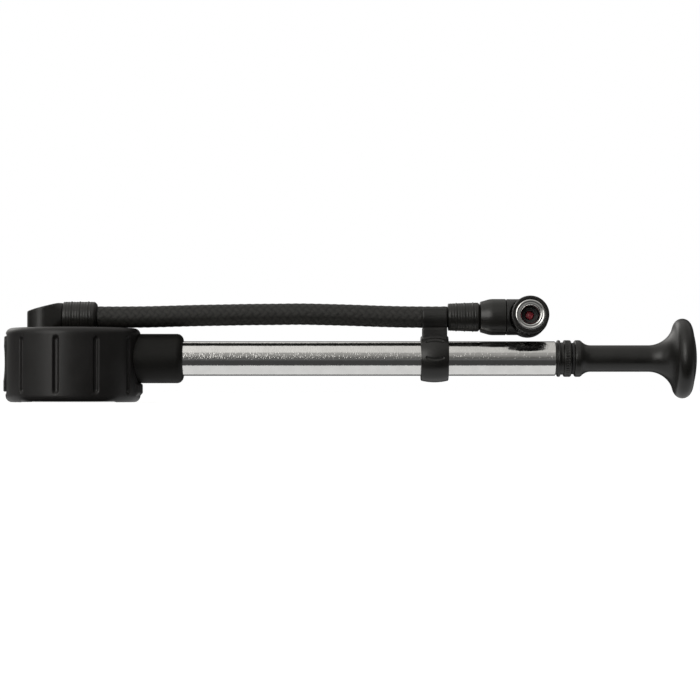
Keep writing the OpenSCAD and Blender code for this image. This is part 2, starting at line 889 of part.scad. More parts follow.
module bourdon_tube() {
  root_angle = 8;
  inner = bourdon_t / 2 - bourdon_wall;
  inner_low = bourdon_bottom + bourdon_wall;
  inner_high = bourdon_top - bourdon_wall;
  color(brass)
    placed() {
      difference() {
        rotate(root_angle)
          rotate_extrude(angle = bourdon_end - root_angle)
            band(bourdon_r - bourdon_t / 2, bourdon_r + bourdon_t / 2, bourdon_bottom, bourdon_top);
        rotate(root_angle - 1)
          rotate_extrude(angle = bourdon_end - root_angle - 5)
            band(bourdon_r - inner, bourdon_r + inner, inner_low, inner_high);
      }
      translate([tip_point[0] - 1, tip_point[1] - 0.7, link_top + pass_gap])
        cube([2, 1.4, bourdon_bottom - link_top - pass_gap + 0.1]);
    }
}

module gauge_block() {
  root_angle = 8;
  half_t = bourdon_t / 2 + seat_gap;
  color(brass)
    placed()
      difference() {
        translate([block_x - block_l / 2, -block_w / 2, front_plate_top])
          cube([block_l, block_w, deck_bottom - front_plate_top]);
        rotate(root_angle - 0.2)
          rotate_extrude(angle = 20)
            band(bourdon_r - half_t, bourdon_r + half_t, bourdon_bottom - seat_gap, bourdon_top + seat_gap);
        translate([block_x, 0, 0])
          upright(air_r, bourdon_bottom + 1, deck_bottom + 1);
        translate([bourdon_r, 0, (bourdon_top + bourdon_bottom) / 2])
          rotate([-90, 0, 0])
            cylinder(r = 0.4, h = 3);
        for (p = block_screw_points)
          translate([p[0], p[1], 0])
            upright(block_screw_r + seat_gap, front_plate_top - 1, deck_bottom + 1);
      }
}

// Outline of a movement plate about the gauge axis
module movement_plate(low, high) {
  difference() {
    union() {
      upright(plate_r, low, high);
      children();
    }
    upright(arbor_d / 2 + run_gap, low - 1, high + 1);
    translate([sector_pivot[0], sector_pivot[1], 0])
      upright(pivot_pin_r + run_gap, low - 1, high + 1);
    for (p = pillar_points)
      translate([p[0], p[1], 0])
        upright(small_screw_r + seat_gap, low - 1, high + 1);
  }
}

module movement_back_plate() {
  color(brass)
    placed()
      difference() {
        movement_plate(back_plate_bottom, back_plate_top);
        translate([block_x - block_l / 2 - seat_gap, -plate_r, back_plate_bottom - 1])
          cube([plate_r, 2 * plate_r, back_plate_t + 2]);
      }
}

module movement_front_plate() {
  tongue = block_x + block_l / 2;
  color(brass)
    placed()
      difference() {
        movement_plate(front_plate_bottom, front_plate_top) {
          translate([0, -block_w / 2, front_plate_bottom])
            cube([tongue, block_w, front_plate_t]);
          for (p = dial_screw_points)
            translate([p[0], p[1], 0])
              upright(2 * small_screw_r, dial_top, front_plate_bottom + 0.1);
        }
        for (p = dial_screw_points)
          translate([p[0], p[1], 0])
            upright(small_screw_r + seat_gap, dial_top - 1, front_plate_bottom + 0.3);
        for (p = block_screw_points)
          translate([p[0], p[1], 0])
            upright(block_screw_r + seat_gap, front_plate_bottom - 1, front_plate_top + 1);
      }
}

module movement_pillars() {
  color(brass)
    placed()
      for (p = pillar_points)
        translate([p[0], p[1], 0]) {
          upright(1, front_plate_top, back_plate_bottom);
          upright(small_screw_r, front_plate_bottom, back_plate_top);
        }
}

module block_screws() {
  color(steel)
    placed()
      for (p = block_screw_points)
        translate([p[0], p[1], 0]) {
          upright(block_screw_r, front_plate_bottom - 0.1, deck_bottom + block_screw_reach);
          upright(1.4, front_plate_bottom - 0.9, front_plate_bottom);
        }
}

module bleed_button() {
  dish_half = 7;
  dish_r = (dish_half * dish_half + button_dish * button_dish) / (2 * button_dish);
  color(plastic)
    placed() {
      intersection() {
        rotate_extrude()
          difference() {
            soft_band(
              button_inner_r, boot_r + button_out,
              button_z - button_h / 2, button_z + button_h / 2, 0.9
            );
            translate([boot_r + button_out - button_dish + dish_r, button_z])
              circle(r = dish_r, $fn = 200);
          }
        translate([-2 * boot_r, -button_w / 2, boot_bottom])
          cube([2 * boot_r, button_w, boot_top - boot_bottom]);
      }
      translate([0, 0, guide_z])
        along(guide_r, -button_inner_r - 0.4, guide_end_x - button_travel - pass_gap);
    }
}

module bleed_stem() {
  pin_r = bleed_stem_d / 2;
  pin_x = -sqrt(button_inner_r * button_inner_r - pin_r * pin_r);
  color(steel)
    placed()
      translate([0, 0, gallery_z]) {
        along(pin_r, pin_x, poppet_x + poppet_t);
        along(poppet_r, poppet_x, poppet_x + poppet_t);
      }
}

module bleed_seat() {
  color(brass)
    placed()
      translate([0, 0, gallery_z])
        difference() {
          along(bleed_bore_d / 2 - seat_gap, bleed_seat_x, poppet_x);
          along(bleed_stem_d / 2 + run_gap, bleed_seat_x - 1, poppet_x + 1);
        }
}

module bleed_spring() {
  color(steel)
    placed()
      translate([0, 0, gallery_z])
        coil_spring(poppet_x + poppet_t, bleed_inner_x, 1.9, 0.25, 4);
}

module swivel_elbow() {
  arm_r = ferrule_d / 2 - swivel_step;
  slope = atan((swivel_high - swivel_low) / (swivel_arm + swivel_r));
  nipple_end = hose_x - nipple_gap;
  color(plastic)
    placed()
      translate([swivel_x, 0, 0])
        difference() {
          union() {
            upright(stem_r, deck_bottom - 2, deck_top + 1);
            difference() {
              hull() {
                $fn = 48;
                upright(swivel_r, deck_top + swivel_gap, hose_z + arm_r);
                on_hose()
                  along(arm_r, swivel_arm - 1, swivel_arm);
              }
              translate([-swivel_r, -swivel_r - 1, deck_top + swivel_low])
                rotate([0, -slope, 0])
                  translate([-5, 0, 0])
                    cube([swivel_arm + 3 * swivel_r, swivel_d + 2, swivel_d]);
            }
            on_hose()
              along(nipple_r, 0, nipple_end - swivel_x);
          }
          upright(air_r, gallery_z - air_r, hose_z);
          on_hose()
            along(nipple_bore_r, 0, nipple_end - swivel_x + 1);
          translate([0, 0, gallery_z])
            along(air_r - 0.2, -stem_r - 1, stem_r + 1);
          for (z = swivel_seal_levels)
            rotate_extrude()
              band(stem_r - ring_groove, stem_r + 0.5, z - ring_half_w, z + ring_half_w);
          rotate_extrude()
            band(
              stem_r - swivel_groove, stem_r + 0.5,
              deck_bottom - pass_gap - swivel_clip_t - 0.1, deck_bottom - pass_gap
            );
        }
}

module swivel_seals() {
  color(rubber)
    placed()
      for (z = swivel_seal_levels)
        translate([swivel_x, 0, z])
          o_ring(stem_r - ring_c, ring_c);
}

module swivel_clip() {
  color(steel)
    placed()
      translate([swivel_x, 0, 0])
        difference() {
          upright(stem_r + 1.6, deck_bottom - pass_gap - swivel_clip_t, deck_bottom - pass_gap);
          upright(stem_r - swivel_groove + seat_gap, deck_bottom - 2, deck_bottom);
          translate([-stem_r - 3, -1.6, deck_bottom - 2])
            cube([stem_r, 3.2, 3]);
        }
}

// A ferrule about the hose axis, with raised rings from the end at x1
module ferrule(x1, x2, r1, r2) {
  last = floor((x2 - x1 - ring_start - ring_w - ferrule_chamfer) / ring_pitch);
  on_hose()
    turned()
      difference() {
        union() {
          polygon([
            [0, x1], [r1, x1], [r2, x2 - ferrule_chamfer], [r2 - ferrule_chamfer, x2], [0, x2]
          ]);
          for (i = [0:last]) {
            a = x1 + ring_start + ring_pitch * i;
            r = r1 + (r2 - r1) * (a - x1) / (x2 - x1);
            band(r - 0.5, r + ring_out, a, a + ring_w);
          }
        }
        band(0, nipple_r + seat_gap, x1 - 1, x2 + 1);
      }
}

module gauge_ferrule() {
  color(plastic)
    placed()
      ferrule(ferrule_x, hose_x, ferrule_d / 2, ferrule_d / 2);
}

module hose() {
  path = [for (p = hose_route) [hose_x + p[0], 0, p[1]]];
  color(rubber)
    placed()
      on_hose()
        swept_tube(path, [for (p = path) [0, 1, 0]], hose_d / 2, 12);
}

module head_ferrule() {
  color(plastic)
    placed()
      ferrule(hose_end_x, nut_x, head_ferrule_small_d / 2, head_ferrule_d / 2);
}

module hose_clip() {
  middle = hose_end_x - 0.5 - clip_hook_w / 2;
  ring_r = barrel_r + seat_gap;
  crown = 24;
  shelf_front = 5.2;
  shelf_back = 3;
  hook_in = hose_d / 2 + pass_gap;
  hook_out = hook_in + clip_hook_t;
  shelf = hose_z - hook_in;
  color(plastic)
    placed() {
      turned()
        intersection() {
          band(ring_r, ring_r + clip_ring_t, middle - clip_ring_w / 2, middle + clip_ring_w / 2);
          translate([ring_r + clip_ring_t - crown, middle])
            circle(r = crown, $fn = 200);
        }
      translate([middle - clip_hook_w / 2, 0, 0]) {
        difference() {
          translate([0, -shelf_front, ring_r + 0.4])
            cube([clip_hook_w, shelf_front + shelf_back, shelf - ring_r - 0.4]);
          on_hose()
            along(hook_in, -1, clip_hook_w + 1);
          along(ring_r + 0.4, -1, clip_hook_w + 1);
        }
        on_hose()
          difference() {
            along(hook_out, 0, clip_hook_w);
            along(hook_in, -1, clip_hook_w + 1);
            translate([-1, 0, -hook_in])
              cube([clip_hook_w + 2, 2 * hook_out, 3 * hook_out]);
            translate([-1, -2 * hook_out, clip_tip])
              cube([clip_hook_w + 2, 4 * hook_out, 2 * hook_out]);
          }
      }
    }
}

module swivel_nut() {
  color(plastic)
    placed()
      on_hose()
        turned()
          difference() {
            polygon([
              [0, nut_x], [head_ferrule_d / 2 + 0.3, nut_x],
              [nut_d / 2, nut_x + nut_cone], [nut_d / 2, seam_x], [0, seam_x]
            ]);
            band(0, nipple_r + seat_gap, nut_x - 1, seam_x - spigot_seat);
            band(0, spigot_r + seat_gap, seam_x - spigot_seat, seam_x + 1);
          }
}

module head_nipple() {
  nipple_x = hose_end_x + nipple_gap;
  color(brass)
    placed()
      on_hose()
        turned()
          difference() {
            union() {
              band(nipple_bore_r, nipple_r, nipple_x, seam_x);
              band(nipple_bore_r, spigot_r, seam_x - spigot_seat, seam_x + spigot_len);
            }
            band(
              spigot_r - ring_groove, spigot_r + 1,
              head_seal_x - ring_half_w, head_seal_x + ring_half_w
            );
          }
}

module head_seal() {
  color(rubber)
    placed()
      on_hose()
        translate([head_seal_x, 0, 0])
          o_ring_along(spigot_r - ring_c, ring_c);
}

module head_body() {
  spigot_end = seam_x + spigot_len + pass_gap - head_x;
  color(plastic)
    placed()
      on_head()
        difference() {
          union() {
            difference() {
              along(neck_d / 2, seam_x + seam_gap - head_x, 0);
              chuck_rod(collar_d / 2 + pass_gap, head_front, neck_d);
            }
            intersection() {
              chuck_rod(head_d / 2, -head_back, head_front);
              rotate([-90, 0, 0])
                union() {
                  sphere(r = head_sweep, $fn = 96);
                  translate([0, 0, -head_front - 1])
                    cylinder(r = head_d / 2 + 1, h = head_front + 1);
                }
            }
            difference() {
              chuck_rod(post_r, -1, post_front);
              chuck_ring(post_r - post_groove, post_r + 1, post_groove_back, post_groove_front);
            }
          }
          along(spigot_r + run_gap, seam_x - head_x, spigot_end);
          along(nipple_bore_r, spigot_end - 1, 0);
          chuck_rod(nipple_bore_r - 0.2, -0.5, post_front);
          chuck_rod(pusher_r + pusher_flange + seat_gap, head_front, post_front + 1);
        }
}

module chuck_collar() {
  rib_r = 0.45;
  color(plastic)
    placed()
      on_head()
        difference() {
          rotate([90, 0, 0])
            rotate_extrude()
              soft_band(1, collar_d / 2, collar_back, collar_front, 0.5);
          chuck_rod(post_r + run_gap, collar_back - 1, collar_front + 1);
          chuck_rod(insert_d / 2 + seat_gap, insert_back, collar_front + 1);
          chuck_rod(post_r + 0.8, post_groove_back - pass_gap, insert_back + 0.1);
          for (i = [0:collar_ribs - 1])
            rotate([0, 360 * i / collar_ribs, 0])
              translate([collar_d / 2 + 0.15, 0, 0])
                chuck_rod(rib_r, collar_back + 0.9, collar_front - 0.9);
        }
}

module chuck_insert() {
  thread_r = thread_d / 2;
  color(chrome)
    placed()
      on_head()
        rotate([90, 0, 0])
          rotate_extrude()
            polygon([
              [thread_r, insert_back], [insert_d / 2, insert_back],
              [insert_d / 2, insert_front - 0.4], [insert_d / 2 - 0.4, insert_front],
              [thread_r + 0.5, insert_front], [thread_r, insert_front - 0.5]
            ]);
}

module chuck_seal() {
  color(rubber)
    placed()
      on_head()
        chuck_ring(pusher_r + pass_gap, chuck_seal_r, post_front, post_front + chuck_seal_t);
}

module valve_pusher() {
  dome_r = 2 * pusher_r;
  slot_w = 0.6;
  color("firebrick")
    placed()
      on_head()
        difference() {
          union() {
            intersection() {
              chuck_rod(pusher_r, head_front, post_front + pusher_out);
              translate([0, dome_r - post_front - pusher_out, 0])
                sphere(r = dome_r);
            }
            chuck_rod(pusher_r, head_front, post_front);
            chuck_rod(pusher_r + pusher_flange, head_front, head_front + pusher_flange_t);
          }
          for (side = [-1, 1])
            translate([side * (pusher_r + 0.2), -head_front, 0])
              cube([1, 2 * (post_front - head_front), slot_w], center = true);
        }
}

module collar_clip() {
  color(steel)
    placed()
      on_head()
        difference() {
          chuck_ring(
            post_r - post_groove + seat_gap, post_r + 0.5,
            post_groove_back + seat_gap, post_groove_front - seat_gap
          );
          translate([0, -post_front - 1, -1.5])
            cube([2 * post_r, 4, 3]);
        }
}

module barrel() {
  color(aluminium)
    placed()
      turned()
        polygon([
          [bore_r, barrel_x], [barrel_r, barrel_x],
          [barrel_r, cap_x - barrel_chamfer], [barrel_r - barrel_chamfer, cap_x],
          [bore_r, cap_x]
        ]);
}

module barrel_seal() {
  color(rubber)
    placed()
      translate([barrel_seal_x, 0, 0])
        o_ring_along(barrel_seal_r, barrel_seal_c);
}

module check_seat() {
  color(brass)
    placed()
      turned()
        band(1.2, chamber_d / 2 - seat_gap, barrel_x - seat_t, barrel_x);
}

module check_disc() {
  color(rubber)
    placed()
      along(disc_d / 2, barrel_x - seat_t - disc_t, barrel_x - seat_t);
}

module check_spring() {
  color(steel)
    placed()
      coil_spring(chamber_x, barrel_x - seat_t - disc_t, 2, 0.15, 3);
}

module end_cap() {
  color(plastic)
    placed()
      difference() {
        turned() {
          band(0, bore_r - seat_gap, plug_x, cap_x + 0.1);
          band(0, cap_groove_d / 2, cap_x, knurl_x + 0.5);
          soft_band(0, cap_ring_d / 2, ring_x, ring_x + cap_ring_w, 0.3);
          polygon([
            [0, knurl_x], [cap_knurl_d / 2 - 0.4, knurl_x], [cap_knurl_d / 2, knurl_x + 0.4],
            [cap_knurl_d / 2, cap_end_x - 0.6], [cap_knurl_d / 2 - 0.5, cap_end_x],
            [0, cap_end_x]
          ]);
        }
        along(rod_r + run_gap, plug_x - 1, cap_end_x + 1);
        along(rod_r + wiper_w, cap_end_x - wiper_len - 0.1, cap_end_x + 1);
        for (i = [0:cap_knurl_count - 1])
          rotate([360 * (i + 0.5) / cap_knurl_count, 0, 0])
            translate([0, 0, cap_knurl_d / 2 + 0.15])
              along(0.35, knurl_x + 0.6, cap_end_x - 0.8);
      }
}

module rod_wiper() {
  color(rubber)
    placed()
      turned()
        band(rod_r + run_gap, rod_r + wiper_w - seat_gap, cap_end_x - wiper_len, cap_end_x - 0.1);
}

module handle() {
  collar_end = handle_x + handle_collar_w;
  share = flare_r / flare_reach;
  meet_r = flare_center_r - share * rim_rise;
  meet_x = flare_x + share * (rim_x - flare_x);
  color(plastic)
    placed()
      difference() {
        turned() {
          soft_band(0, handle_collar_d / 2, handle_x, collar_end, 0.8);
          difference() {
            band(0, handle_collar_d / 2 - 0.3, collar_end - 1, collar_end + foot_len);
            translate([shaft_r + foot_r, collar_end + foot_len])
              circle(r = foot_r);
          }
          band(0, shaft_r, handle_x + 0.5, flare_x + 0.1);
          difference() {
            polygon([
              [0, flare_x], [shaft_r, flare_x], [meet_r, meet_x],
              [rim_center_r, rim_x], [0, rim_x]
            ]);
            translate([flare_center_r, flare_x])
              circle(r = flare_r, $fn = 200);
          }
          translate([rim_center_r, rim_x])
            circle(r = rim_r);
          intersection() {
            band(0, rim_center_r, rim_x - 0.1, handle_end_x);
            translate([0, handle_end_x - crown_r])
              circle(r = crown_r, $fn = 200);
          }
        }
        along(rod_r + 0.02, handle_x - 1, rod_end_x);
      }
}

module piston_rod() {
  color(steel)
    placed()
      difference() {
        along(rod_r, rod_x, rod_end_x);
        along(screw_r + seat_gap, rod_x - 1, rod_x + screw_grip + 0.2);
      }
}

module piston() {
  color(brass)
    placed()
      turned()
        difference() {
          band(screw_r + seat_gap, piston_r, piston_x, piston_end_x);
          band(cup_hub_r - seat_gap, bore_r, piston_x - 1, piston_x + cup_len);
          band(piston_r - slide_ring_t, bore_r, slide_ring_x, slide_ring_x + slide_ring_w);
          band(0, rod_r + 0.02, rod_x, piston_end_x + 1);
        }
}

module piston_cup() {
  lip_x = piston_x - 1;
  floor_x = piston_x + 1.4;
  color(rubber)
    placed()
      turned()
        difference() {
          band(cup_hub_r, bore_r - run_gap, lip_x, piston_x + cup_len);
          polygon([
            [cup_hub_r + 1, lip_x - 1], [cup_hub_r + 1.1, floor_x],
            [bore_r - 1.1, floor_x], [bore_r - 0.5, lip_x - 1]
          ]);
        }
}

module piston_ring() {
  color("ivory")
    placed()
      turned()
        band(
          piston_r - slide_ring_t + seat_gap, bore_r - run_gap,
          slide_ring_x + seat_gap, slide_ring_x + slide_ring_w - seat_gap
        );
}

module piston_screw() {
  color(steel)
    placed() {
      along(screw_head_r, screw_x, screw_x + screw_head_t);
      along(screw_r, screw_x + 0.1, rod_x + screw_grip);
    }
}

module bumper() {
  color(rubber)
    placed()
      turned()
        band(rod_r + seat_gap, bumper_d / 2, handle_x - bumper_t, handle_x);
}

gauge_housing();
grip_boot();
bezel_ring();
lens();
lens_gasket();
dial_face();
dial_screws();
needle();
pinion_arbor();
sector_gear();
gauge_link();
hairspring();
bourdon_tube();
gauge_block();
movement_back_plate();
movement_front_plate();
movement_pillars();
block_screws();
bleed_button();
bleed_stem();
bleed_seat();
bleed_spring();
swivel_elbow();
swivel_seals();
swivel_clip();
gauge_ferrule();
hose();
head_ferrule();
hose_clip();
swivel_nut();
head_nipple();
head_seal();
head_body();
chuck_collar();
chuck_insert();
chuck_seal();
valve_pusher();
collar_clip();
barrel();
barrel_seal();
check_seat();
check_disc();
check_spring();
end_cap();
rod_wiper();
handle();
piston_rod();
piston();
piston_cup();
piston_ring();
piston_screw();
bumper();
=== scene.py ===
import json
import math

import bmesh
import bpy
from mathutils import Matrix, Vector

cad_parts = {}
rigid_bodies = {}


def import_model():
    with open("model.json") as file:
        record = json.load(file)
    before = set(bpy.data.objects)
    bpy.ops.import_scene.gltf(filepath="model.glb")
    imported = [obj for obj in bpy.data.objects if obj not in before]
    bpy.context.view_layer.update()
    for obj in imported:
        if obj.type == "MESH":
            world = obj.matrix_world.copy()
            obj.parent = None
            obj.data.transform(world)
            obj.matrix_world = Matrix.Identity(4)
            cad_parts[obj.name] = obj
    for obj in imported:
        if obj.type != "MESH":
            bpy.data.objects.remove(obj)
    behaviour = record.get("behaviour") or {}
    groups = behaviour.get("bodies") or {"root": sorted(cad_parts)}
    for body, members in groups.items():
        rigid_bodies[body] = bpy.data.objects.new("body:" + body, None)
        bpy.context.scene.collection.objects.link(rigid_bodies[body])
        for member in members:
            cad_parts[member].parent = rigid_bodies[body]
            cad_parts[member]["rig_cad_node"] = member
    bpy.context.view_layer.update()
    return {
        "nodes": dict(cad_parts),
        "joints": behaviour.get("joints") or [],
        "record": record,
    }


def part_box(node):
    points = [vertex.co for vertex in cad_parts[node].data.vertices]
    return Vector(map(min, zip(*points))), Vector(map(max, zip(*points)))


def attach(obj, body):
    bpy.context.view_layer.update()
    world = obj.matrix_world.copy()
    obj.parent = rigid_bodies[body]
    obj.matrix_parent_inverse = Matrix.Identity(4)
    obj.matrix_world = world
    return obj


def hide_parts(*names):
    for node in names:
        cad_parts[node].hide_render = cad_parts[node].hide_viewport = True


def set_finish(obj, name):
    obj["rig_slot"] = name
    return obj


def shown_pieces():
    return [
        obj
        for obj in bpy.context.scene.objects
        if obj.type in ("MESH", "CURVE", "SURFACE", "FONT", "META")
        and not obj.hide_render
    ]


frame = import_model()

mm = 0.001
joints = {joint["name"]: joint for joint in frame["joints"]}
gaugeAt = Vector(joints["needle_turn"]["pos_m"])  # on the gauge's upright axis
headAt = Vector(joints["head_swivel"]["pos_m"])   # middle of the valve head's round body
chuckDir = Vector(joints["chuck_spin"]["axis"]).normalized()
tubeZ = sum(corner.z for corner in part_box("barrel")) / 2
xDir = Vector((1, 0, 0))
zDir = Vector((0, 0, 1))
origin = (gaugeAt.x, 0, tubeZ)  # where the gauge's axis meets the barrel's
onTube = Vector(origin)
onHose = Vector((gaugeAt.x, 0, headAt.z))
# Where a piece's local origin, Z axis and X axis lie
alongTube = (onTube, xDir, zDir)
alongHose = (onHose, xDir, zDir)
alongChuck = (headAt, chuckDir, xDir)
upright = (onTube, zDir, xDir)
print("frame loaded,", len(frame["nodes"]), "nodes")


# Makes an object of some data and links it to the scene
def placed(name, data):
    made = bpy.data.objects.new(name, data)
    bpy.context.scene.collection.objects.link(made)
    return made


camera = {
    "distance": 1.0,  # from the middle of the pump
    "frameWidth": 0.30345,  # what the picture's width takes in at that distance
    "aim": (0, 0, 0.0226),
    "elevation": -1.0,
    "sensor": 36.0,
}


def makeCamera():
    data = bpy.data.cameras.new("camera")
    data.sensor_width = camera["sensor"]
    data.lens = camera["sensor"] * camera["distance"] / camera["frameWidth"]
    data.clip_start = 0.01
    data.clip_end = 20
    eye = placed("camera", data)
    tilt = math.radians(camera["elevation"])
    eye.location = Vector(camera["aim"]) + camera["distance"] * Vector((0, -math.cos(tilt), math.sin(tilt)))
    eye.rotation_euler = (math.pi / 2 - tilt, 0, 0)
    bpy.context.scene.camera = eye


makeCamera()
print("camera ready")


# Where a node starts and ends along an axis, in millimetres from the origin
def spanOf(node, axis=0):
    return tuple((corner[axis] - origin[axis]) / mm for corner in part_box(node))


def radiusOf(node, axis=1):
    low, high = spanOf(node, axis)
    return (high - low) / 2


# Climbs smoothly from 0 to 1 between two limits
def soft(value, low, high):
    share = min(1, max(0, (value - low) / (high - low)))
    return share * share * (3 - 2 * share)


def faceOut(bm):
    bmesh.ops.recalc_face_normals(bm, faces=bm.faces[:])


def rounded(bm, geom, size, segments, affect="EDGES"):
    bmesh.ops.bevel(bm, geom=geom, offset=size, offset_type="OFFSET", segments=segments,
                    profile=0.5, affect=affect, material=-1, clamp_overlap=True)


# Turns an outline of (distance, radius, rounding) about the local Z axis, in millimetres
def turned(outline, steps, closed=True):
    bm = bmesh.new()
    corners = [bm.verts.new((radius, 0, along)) for along, radius, _ in outline]
    for first, second in zip(corners, corners[1:]):
        bm.edges.new((first, second))
    if closed:
        bm.edges.new((corners[-1], corners[0]))
    for size in sorted({size for _, _, size in outline if size > 0}):
        group = [v for v, row in zip(corners, outline) if row[2] == size]
        rounded(bm, group, size, 4, "VERTICES")
    bmesh.ops.spin(bm, geom=bm.verts[:] + bm.edges[:], cent=(0, 0, 0), axis=(0, 0, 1),
                   angle=2 * math.pi, steps=steps, use_merge=True)
    bmesh.ops.remove_doubles(bm, verts=bm.verts[:], dist=1e-5)
    faceOut(bm)
    return bm


# Points of an arc in an outline, between two angles in degrees from the axis direction
def arc(along, radius, size, start, end, count):
    angles = [math.radians(start + (end - start) * i / count) for i in range(count + 1)]
    return [(along + size * math.cos(a), radius + size * math.sin(a), 0) for a in angles]


# Takes a shape drawn in millimetres about the local Z axis to its place on the pump
def putAt(bm, at, axis, side):
    turn = Matrix((side, axis.cross(side), axis)).transposed().to_4x4()
    bm.transform(Matrix.Translation(at) @ turn @ Matrix.Scale(mm, 4))


# A box with four rounded corners, as seen along X
def roundedBox(size, corner, segments):
    bm = bmesh.new()
    bmesh.ops.create_cube(bm, size=1)
    bmesh.ops.scale(bm, vec=size, verts=bm.verts[:])
    across = [edge for edge in bm.edges if abs(edge.verts[0].co.x - edge.verts[1].co.x) > 1]
    rounded(bm, across, corner, segments)
    return bm


def meshOf(name, bm):
    mesh = bpy.data.meshes.new(name)
    bm.to_mesh(mesh)
    bm.free()
    return mesh


def finishPiece(name, bm, body, slotName, nodes, sharp=38, place=None):
    if place:
        putAt(bm, *place)
    mesh = meshOf(name, bm)
    mesh.shade_smooth()
    mesh.set_sharp_from_angle(angle=math.radians(sharp))
    piece = placed(name, mesh)
    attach(piece, body)
    if nodes:
        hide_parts(*nodes)
    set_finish(piece, slotName)
    print("made", name, len(mesh.polygons), "faces")
    return piece


def addStep(piece, kind, **settings):
    step = piece.modifiers.new(kind.lower(), kind)
    for key, value in settings.items():
        setattr(step, key, value)


# Replaces a piece's mesh by what its modifiers make of it
def bakeModifiers(piece):
    depsgraph = bpy.context.evaluated_depsgraph_get()
    made = bpy.data.meshes.new_from_object(piece.evaluated_get(depsgraph))
    piece.modifiers.clear()
    old = piece.data
    made.name = old.name
    piece.data = made
    bpy.data.meshes.remove(old)


# Large faces keep their own normals, so that a long cylinder shines evenly
def evenNormals(piece):
    addStep(piece, "WEIGHTED_NORMAL", keep_sharp=True, weight=100)
    return piece


def turnedPiece(name, outline, steps, place, body, slotName, node, closed=True, sharp=38):
    bm = turned(outline, steps, closed)
    return evenNormals(finishPiece(name, bm, body, slotName, [node], sharp, place))


# Moves a vertex away from the local Z axis
def pushOut(vert, amount):
    radius = math.hypot(vert.co.x, vert.co.y)
    share = (radius + amount) / radius
    vert.co.x *= share
    vert.co.y *= share


# Presses ribs into a turned shape's outer face
def pressRibs(bm, radius, values, phase, power, within):
    for vert in bm.verts:
        if math.hypot(vert.co.x, vert.co.y) > radius - 0.01:
            wave = math.cos(math.atan2(vert.co.y, vert.co.x) * values["ribs"] + phase)
            pushOut(vert, -values["ribDepth"] * max(0, wave) ** power * within(vert.co.z))


# Cuts closed shapes out of a piece
def cutAway(piece, shapes, sharp):
    cutters = []
    for bm in shapes:
        faceOut(bm)
        cutters.append(placed("cutter", meshOf("cutter", bm)))
    for cutter in cutters:
        addStep(piece, "BOOLEAN", operation="DIFFERENCE", solver="EXACT", object=cutter)
    bakeModifiers(piece)
    piece.data.set_sharp_from_angle(angle=math.radians(sharp))
    for cutter in cutters:
        bpy.data.objects.remove(cutter)


hose = {
    "diameter": 9.0,
    "strands": 8,  # in each direction
    "lead": 27.0,  # length in which a strand goes once round
    "sides": 96,
    "ringEvery": 0.27,
    "strandLift": 0.06,  # how far a strand weaves in and out
    "strandCrown": 0.16,
    "proud": 0.12,  # how far the braid stands out of the hose's plain tube
    "route": [
        (0, 0), (0.011, 0), (0.022, 0.0001), (0.033, 0.0004), (0.044, 0.0007), (0.055, 0.0009),
        (0.066, 0.0011), (0.077, 0.0012), (0.088, 0.0013), (0.099, 0.0011), (0.110, 0.0008),
        (0.121, 0.0004), (0.132, 0.0001), (0.142, 0), (0.152, 0)
    ],
}


# Height of the hose's axis along its route, on one smooth curve through the route's points
def routeHeight(along):
    points = hose["route"]
    last = len(points) - 1
    i = next((k for k in range(last) if along <= points[k + 1][0]), last - 1)
    before, start, end, after = (points[min(max(k, 0), last)] for k in (i - 1, i, i + 1, i + 2))
    width = end[0] - start[0]
    t = (along - start[0]) / width
    slopeStart = (end[1] - before[1]) / (end[0] - before[0]) * width
    slopeEnd = (after[1] - start[1]) / (after[0] - start[0]) * width
    return ((2 * t**3 - 3 * t**2 + 1) * start[1] + (t**3 - 2 * t**2 + t) * slopeStart
            + (3 * t**2 - 2 * t**3) * end[1] + (t**3 - t**2) * slopeEnd)


# How far the braid stands out: two sets of strands, each over and under the other
def braidHeight(u, v):
    weave = math.sin(math.pi * (v + math.floor(u))), -math.sin(math.pi * (u + math.floor(v)))
    crowns = (math.sqrt(abs(math.sin(math.pi * part))) for part in (u, v))
    heights = [a * hose["strandLift"] + b * hose["strandCrown"] for a, b in zip(weave, crowns)]
    return max(heights), float(heights[0] > heights[1])


